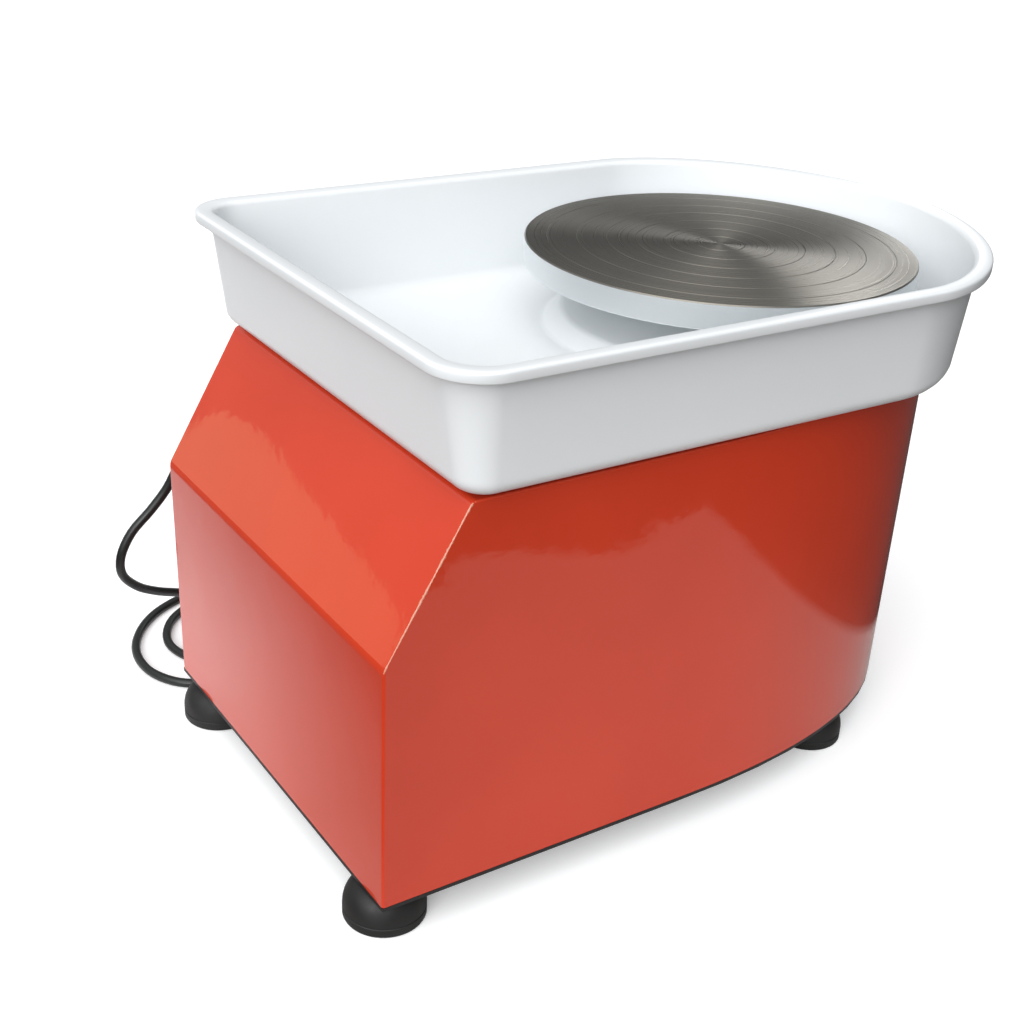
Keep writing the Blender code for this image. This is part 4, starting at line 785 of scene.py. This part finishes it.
SCREW_IN, SCREW_ARM, SCREW_SLOT = 6 * MM, 1.5 * MM, 0.3 * MM
face_y = panel_high.y
screws = []
for x in (panel_low.x + SCREW_IN, panel_high.x - SCREW_IN):
    for z in (panel_low.z + SCREW_IN, panel_high.z - SCREW_IN):
        head = [(3.0 * MM, face_y), (3.0 * MM, face_y + 0.4 * MM), (2.4 * MM, face_y + 1.0 * MM),
                (1.2 * MM, face_y + 1.25 * MM)]
        screw = lathe("panel_screw", head, (x, 0, z), steps=32, axis="Y")
        turn = math.radians(25 + 4000 * (x + z))  # each screw stopped at its own angle
        for angle in (turn, turn + math.pi / 2):
            slot_cutter = cutter_box((x - SCREW_ARM, face_y + 0.5 * MM, z - SCREW_SLOT),
                                     (x + SCREW_ARM, face_y + 2 * MM, z + SCREW_SLOT))
            slot_cutter.rotation_euler = (0, angle, 0)
            cut(screw, slot_cutter)
        screws.append(screw)
finish_piece(joined("panel_screws", screws), finishes["zinc_steel"], "frame")

knob_low, knob_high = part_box("speed_knob")
knob_x, knob_z = (knob_low.x + knob_high.x) / 2, (knob_low.z + knob_high.z) / 2
knob_radius = (knob_high.x - knob_low.x) / 2
KNOB_POINTS, FLUTES = 144, 24
bore_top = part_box("speed_pot")[1].y + 0.3 * MM
rings = []
for scale, y, flute in (  # share of the radius, height, flute depth in mm
    (0.03, bore_top, 0.0), (0.28, bore_top, 0.0), (0.28, knob_low.y, 0.0), (0.97, knob_low.y, 0.0),
    (1.0, knob_low.y + 0.5 * MM, 0.0), (1.0, knob_low.y + 2.2 * MM, 0.0),
    (0.94, knob_low.y + 2.8 * MM, 0.6), (0.91, knob_high.y - 1.6 * MM, 0.6),
    (0.88, knob_high.y - 0.7 * MM, 0.4), (0.82, knob_high.y - 0.1 * MM, 0.0), (0.78, knob_high.y, 0.0),
    (0.66, knob_high.y - 0.35 * MM, 0.0), (0.10, knob_high.y - 0.35 * MM, 0.0),
):
    ring = []
    for i in range(KNOB_POINTS):
        turn = math.tau * i / KNOB_POINTS
        radius = knob_radius * scale - flute * MM * (0.5 - 0.5 * math.cos(FLUTES * turn))
        ring.append((knob_x + radius * math.cos(turn), y, knob_z + radius * math.sin(turn)))
    rings.append(ring)
knob = ring_stack("fluted_knob", rings, close="ends")
finish_piece(knob, finishes["black_plastic"], "knob", ["speed_knob"], angle=40)
pointer = shaped_box("knob_pointer", (knob_x - 0.6 * MM, knob_high.y - 0.5 * MM, knob_z + 3.0 * MM),
                     (knob_x + 0.6 * MM, knob_high.y - 0.1 * MM, knob_z + 7.4 * MM), 0.12 * MM)
finish_piece(pointer, white_abs, "knob")

fuse_low, fuse_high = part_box("fuse_holder")
fuse_x, fuse_z = (fuse_low.x + fuse_high.x) / 2, (fuse_low.z + fuse_high.z) / 2
CAP_SLOT, CAP_SLOT_HALF, CAP_SLOT_DEPTH = 4.6 * MM, 0.6 * MM, 1.2 * MM
cap, barrel = (fuse_high.x - fuse_low.x) / 2, 6.4 * MM
profile = [(1.0 * MM, fuse_high.y), (cap - 1.6 * MM, fuse_high.y), (cap - 0.9 * MM, fuse_high.y - 0.5 * MM),
           (cap - 0.7 * MM, fuse_high.y - 4.4 * MM), (cap - 0.1 * MM, fuse_high.y - 5.0 * MM),
           (cap, face_y + 0.5 * MM), (cap, face_y + 0.1 * MM), (barrel, face_y + 0.1 * MM),
           (barrel, fuse_low.y), (1.0 * MM, fuse_low.y)]
fuse = lathe("fuse_cap", profile, (fuse_x, 0, fuse_z), steps=48, axis="Y")
cut(fuse, cutter_box((fuse_x - CAP_SLOT, fuse_high.y - CAP_SLOT_DEPTH, fuse_z - CAP_SLOT_HALF),
                     (fuse_x + CAP_SLOT, fuse_high.y + 1 * MM, fuse_z + CAP_SLOT_HALF)))
finish_piece(fuse, finishes["black_plastic"], "frame", ["fuse_holder"])

socket_low, socket_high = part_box("pedal_socket")
socket_x, socket_z = (socket_low.x + socket_high.x) / 2, (socket_low.z + socket_high.z) / 2
INSERT, INSERT_BACK, HOLE_CIRCLE, HOLE, HOLE_COUNT = 6.3 * MM, 12 * MM, 3.4 * MM, 0.75 * MM, 5
profile = [(1.0 * MM, socket_high.y - 1.6 * MM), (5.7 * MM, socket_high.y - 1.6 * MM),
           (INSERT, socket_high.y - 2.2 * MM), (INSERT, socket_high.y - INSERT_BACK),
           (1.0 * MM, socket_high.y - INSERT_BACK)]
insert = lathe("socket_insert", profile, (socket_x, 0, socket_z), steps=48, axis="Y")
for i in range(HOLE_COUNT):
    turn = math.radians(90 + 72 * i)
    at = (socket_x + HOLE_CIRCLE * math.cos(turn), socket_high.y - 1.6 * MM,
          socket_z + HOLE_CIRCLE * math.sin(turn))
    cut(insert, cutter_rod(at, HOLE, 5 * MM, along_y=True))
finish_piece(insert, finishes["black_plastic"], "frame")

# %% [markdown]
# The plug is a moulded one for a grounded outlet: a ribbed sleeve, a tapered body with
# finger grips, two flat blades and a round earth pin.

# %% Plug
plug_low, plug_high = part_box("plug")
plug_y, plug_z = (plug_low.y + plug_high.y) / 2, 9.5 * MM
PLUG_POINTS, BLADE_START, BLADE_OFFSET, BLADE_HALF, PIN = 48, 43.5 * MM, 6.4 * MM, 0.75 * MM, 2.2 * MM
rings = []
for along, half_w, half_h, round_to in (  # millimetres from the cord's end, and roundness
    (0.0, 4.0, 4.0, 1.0), (0.6, 4.6, 4.6, 1.0), (4.0, 4.6, 4.6, 1.0), (4.3, 3.9, 3.9, 1.0),
    (5.6, 3.9, 3.9, 1.0), (5.9, 4.8, 4.8, 1.0), (9.0, 5.0, 5.0, 1.0), (9.3, 4.2, 4.2, 1.0),
    (10.6, 4.2, 4.2, 1.0), (10.9, 5.4, 5.4, 1.0), (13.6, 6.0, 5.8, 0.9), (16.0, 9.4, 7.4, 0.6),
    (19.0, 12.0, 8.8, 0.4), (24.0, 12.5, 9.0, 0.34), (26.0, 11.6, 8.4, 0.34), (28.0, 11.6, 8.4, 0.34),
    (30.0, 12.5, 9.0, 0.3), (42.6, 12.5, 9.0, 0.3), (43.7, 12.1, 8.6, 0.3), (44.0, 11.4, 7.9, 0.3),
):
    ring = []
    for i in range(PLUG_POINTS):
        turn = math.tau * i / PLUG_POINTS
        u = math.copysign(abs(math.cos(turn)) ** round_to, math.cos(turn))
        v = math.copysign(abs(math.sin(turn)) ** round_to, math.sin(turn))
        ring.append((plug_low.x + along * MM, plug_y + half_w * MM * u, plug_z + half_h * MM * v))
    rings.append(ring)
plug = ring_stack("mains_plug", rings, close="ends")
finish_piece(plug, finishes["black_plastic"], "frame", ["plug"])
pins = []
for side in (-1, 1):
    at = plug_y + side * BLADE_OFFSET
    low = Vector((plug_low.x + BLADE_START, at - BLADE_HALF, plug_z - 5.2 * MM))
    high = Vector((plug_high.x - 3 * MM, at + BLADE_HALF, plug_z + 1.2 * MM))
    pins.append(shaped_box("plug_blade", low, high, 0.3 * MM, segments=2))
pins.append(lathe("earth_pin", [(1.0 * MM, plug_high.x), (1.8 * MM, plug_high.x - 0.5 * MM),
                                (PIN, plug_high.x - 1.6 * MM), (PIN, plug_low.x + BLADE_START)],
                  (0, plug_y, plug_z + 5.8 * MM), steps=24, axis="X"))
plug_pins = joined("plug_pins", pins)
finish_piece(plug_pins, finishes["ground_steel"], "frame")

# %% [markdown]
# The wheel stands on a plain white floor. The light is the broad, soft kind of a product
# studio: a wide sun, a dome that is bright above and dim at the horizon so that the
# gloss keeps its depth, a large box at the front left, and a strip behind at the right.
# What the gloss reflects is set apart from what is seen: in reflections the floor shows
# a painted reflection, a pale, ragged sheet painted lighter towards the back on a painted
# dark ground, and the slanted face reflects a bounce card.

# %% Floor and lights
SHEET_FRONT, SHEET_RIGHT, SHEET_LEFT = (-0.395, -0.41), (0.29, 0.31), (-0.25, -0.36)
SHEET_LEAN, SHEET_WAVE, SHEET_FRINGE = 0.16, 0.16, 0.05
SHEET_LIT = (-0.02, 0.20)
SHEET_GREY, SHEET_WHITE, PAINTED_DARK_SURROUND = colour("C8C6C3"), colour("FFFFFF"), colour("4C4A49")
PLAIN_WHITE = (1.0, 1.0, 1.0, 1.0)
bpy.ops.mesh.primitive_plane_add(size=60, location=(0, 0, 0))
table = bpy.context.object
table.name = "studio_floor"
floor_white = bpy.data.materials.new("studio_floor_white")
floor_white.use_nodes = True
tree = floor_white.node_tree
tree.nodes.clear()
seen = add(tree, "LightPath").outputs["Is Camera Ray"]
paper = add(tree, "BsdfDiffuse", {"Color": colour("F6F6F6")})
glow = add(tree, "Emission", {"Color": PLAIN_WHITE, "Strength": 0.25})
bright = add(tree, "AddShader", {0: paper.outputs[0], 1: glow.outputs[0]})
spot = add(tree, "TexCoord").outputs["Object"]
# the painted reflection sheet: a wavy front with a fringe, a straight right end and a
# leaning left end
wave = noise(tree, spot, 130, 1.0)
fringe = noise(tree, spot, 16, 4.0, Roughness=0.65)
sides = add(tree, "SeparateXYZ", {"Vector": spot})
waved = calc(tree, "MULTIPLY_ADD", wave, SHEET_WAVE, sides.outputs["Y"])
frayed = calc(tree, "MULTIPLY_ADD", fringe, SHEET_FRINGE, waved)
leaning = calc(tree, "MULTIPLY_ADD", sides.outputs["Y"], SHEET_LEAN, sides.outputs["X"])
front = remap(tree, frayed, SHEET_FRONT)
right = remap(tree, sides.outputs["X"], SHEET_RIGHT)
left = remap(tree, leaning, SHEET_LEFT)
off_sheet = calc(tree, "MAXIMUM", calc(tree, "MAXIMUM", front, right), left)
# painted light: the reflected sheet is painted lighter towards the back, on a painted dark ground
lit_back = remap(tree, sides.outputs["Y"], SHEET_LIT)
painted_reflection_sheet = blend(tree, lit_back, SHEET_GREY, SHEET_WHITE)
ground = blend(tree, off_sheet, painted_reflection_sheet, PAINTED_DARK_SURROUND)
dull = add(tree, "BsdfDiffuse", {"Color": ground})
both = add(tree, "MixShader", {0: seen, 1: dull.outputs[0], 2: bright.outputs[0]})
add(tree, "OutputMaterial", {"Surface": both.outputs[0]})
table.data.materials.append(floor_white)
table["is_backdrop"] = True

world = bpy.data.worlds.new("studio")
bpy.context.scene.world = world
world.use_nodes = True
sky = world.node_tree
sky.nodes.clear()
HORIZON, ZENITH, DOME_SPAN, DOME_TILT = (0.10, 0.096, 0.092, 1), (0.95, 0.97, 1.0, 1), (0.0, 0.75), -0.35
direction = add(sky, "TexCoord").outputs["Generated"]
aims = add(sky, "SeparateXYZ", {"Vector": direction})
height = calc(sky, "MULTIPLY_ADD", aims.outputs["X"], DOME_TILT, aims.outputs["Z"])
dome = two_tones(sky, height, HORIZON, ZENITH, DOME_SPAN)
unlit = add(sky, "Background", {"Color": PLAIN_WHITE, "Strength": 1.0})
lit = add(sky, "Background", {"Color": dome, "Strength": 0.75})
seen = add(sky, "LightPath").outputs["Is Camera Ray"]
both = add(sky, "MixShader", {0: seen, 1: lit.outputs[0], 2: unlit.outputs[0]})
add(sky, "OutputWorld", {"Surface": both.outputs[0]})


def aim(lamp, location, target):
    lamp.location = location
    lamp.rotation_euler = (Vector(target) - Vector(location)).to_track_quat("-Z", "Y").to_euler()
    bpy.context.scene.collection.objects.link(lamp)


def softbox(name, location, target, size, power):
    light = bpy.data.lights.new(name, "AREA")
    light.shape = "RECTANGLE"
    light.size, light.size_y = size
    light.energy = power
    lamp = bpy.data.objects.new(name, light)
    lamp.visible_camera = False
    aim(lamp, location, target)


SUN_POWER, SUN_WIDTH = 1.92, math.radians(70)
sun = bpy.data.lights.new("wide_sun", "SUN")
sun.energy, sun.angle = SUN_POWER, SUN_WIDTH
aim(bpy.data.objects.new("wide_sun", sun), (-1.9, -1.3, 2.6), (0, 0, 0))
softbox("box_front_left", (-1.9, -1.5, 1.0), (-0.1, 0, 0.2), (1.2, 1.0), 21)
softbox("strip_back_right", (1.85, 1.48, 1.30), (SPINDLE.x, 0, HEAD_TOP), (0.10, 0.7), 2.3)

# a rounded bounce card far behind at the left, which only the slanted face reflects
BOUNCE_AT, BOUNCE_SIZE, BOUNCE_ROUND = (-2.00, 2.432, 0.36), (0.80, 0.50, 1.0), 0.13
BOUNCE_FACES, BOUNCE_LIGHT = Vector((1.57, -2.55, -0.08)), (0.86, 0.92, 0.66, 1.0)
bpy.ops.mesh.primitive_plane_add(size=1, location=BOUNCE_AT)
bounce = bpy.context.object
bounce.name = "bounce_card"
bounce.scale = BOUNCE_SIZE
bounce.rotation_euler = BOUNCE_FACES.to_track_quat("Z", "Y").to_euler()
bpy.ops.object.transform_apply(location=False, rotation=False, scale=True)
bpy.ops.object.mode_set(mode="EDIT")
bpy.ops.mesh.select_all(action="SELECT")
bpy.ops.mesh.bevel(offset=BOUNCE_ROUND, segments=12, affect="VERTICES")
bpy.ops.object.mode_set(mode="OBJECT")
bounce_light = bpy.data.materials.new("bounce_card_light")
bounce_light.use_nodes = True
tree = bounce_light.node_tree
tree.nodes.clear()
card_glow = add(tree, "Emission", {"Color": BOUNCE_LIGHT, "Strength": 1.0})
add(tree, "OutputMaterial", {"Surface": card_glow.outputs[0]})
bounce.data.materials.append(bounce_light)
bounce.visible_camera = False
bounce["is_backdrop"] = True
bpy.context.scene.view_settings.view_transform = "Standard"

# %% Sizes and the end
low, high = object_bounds()
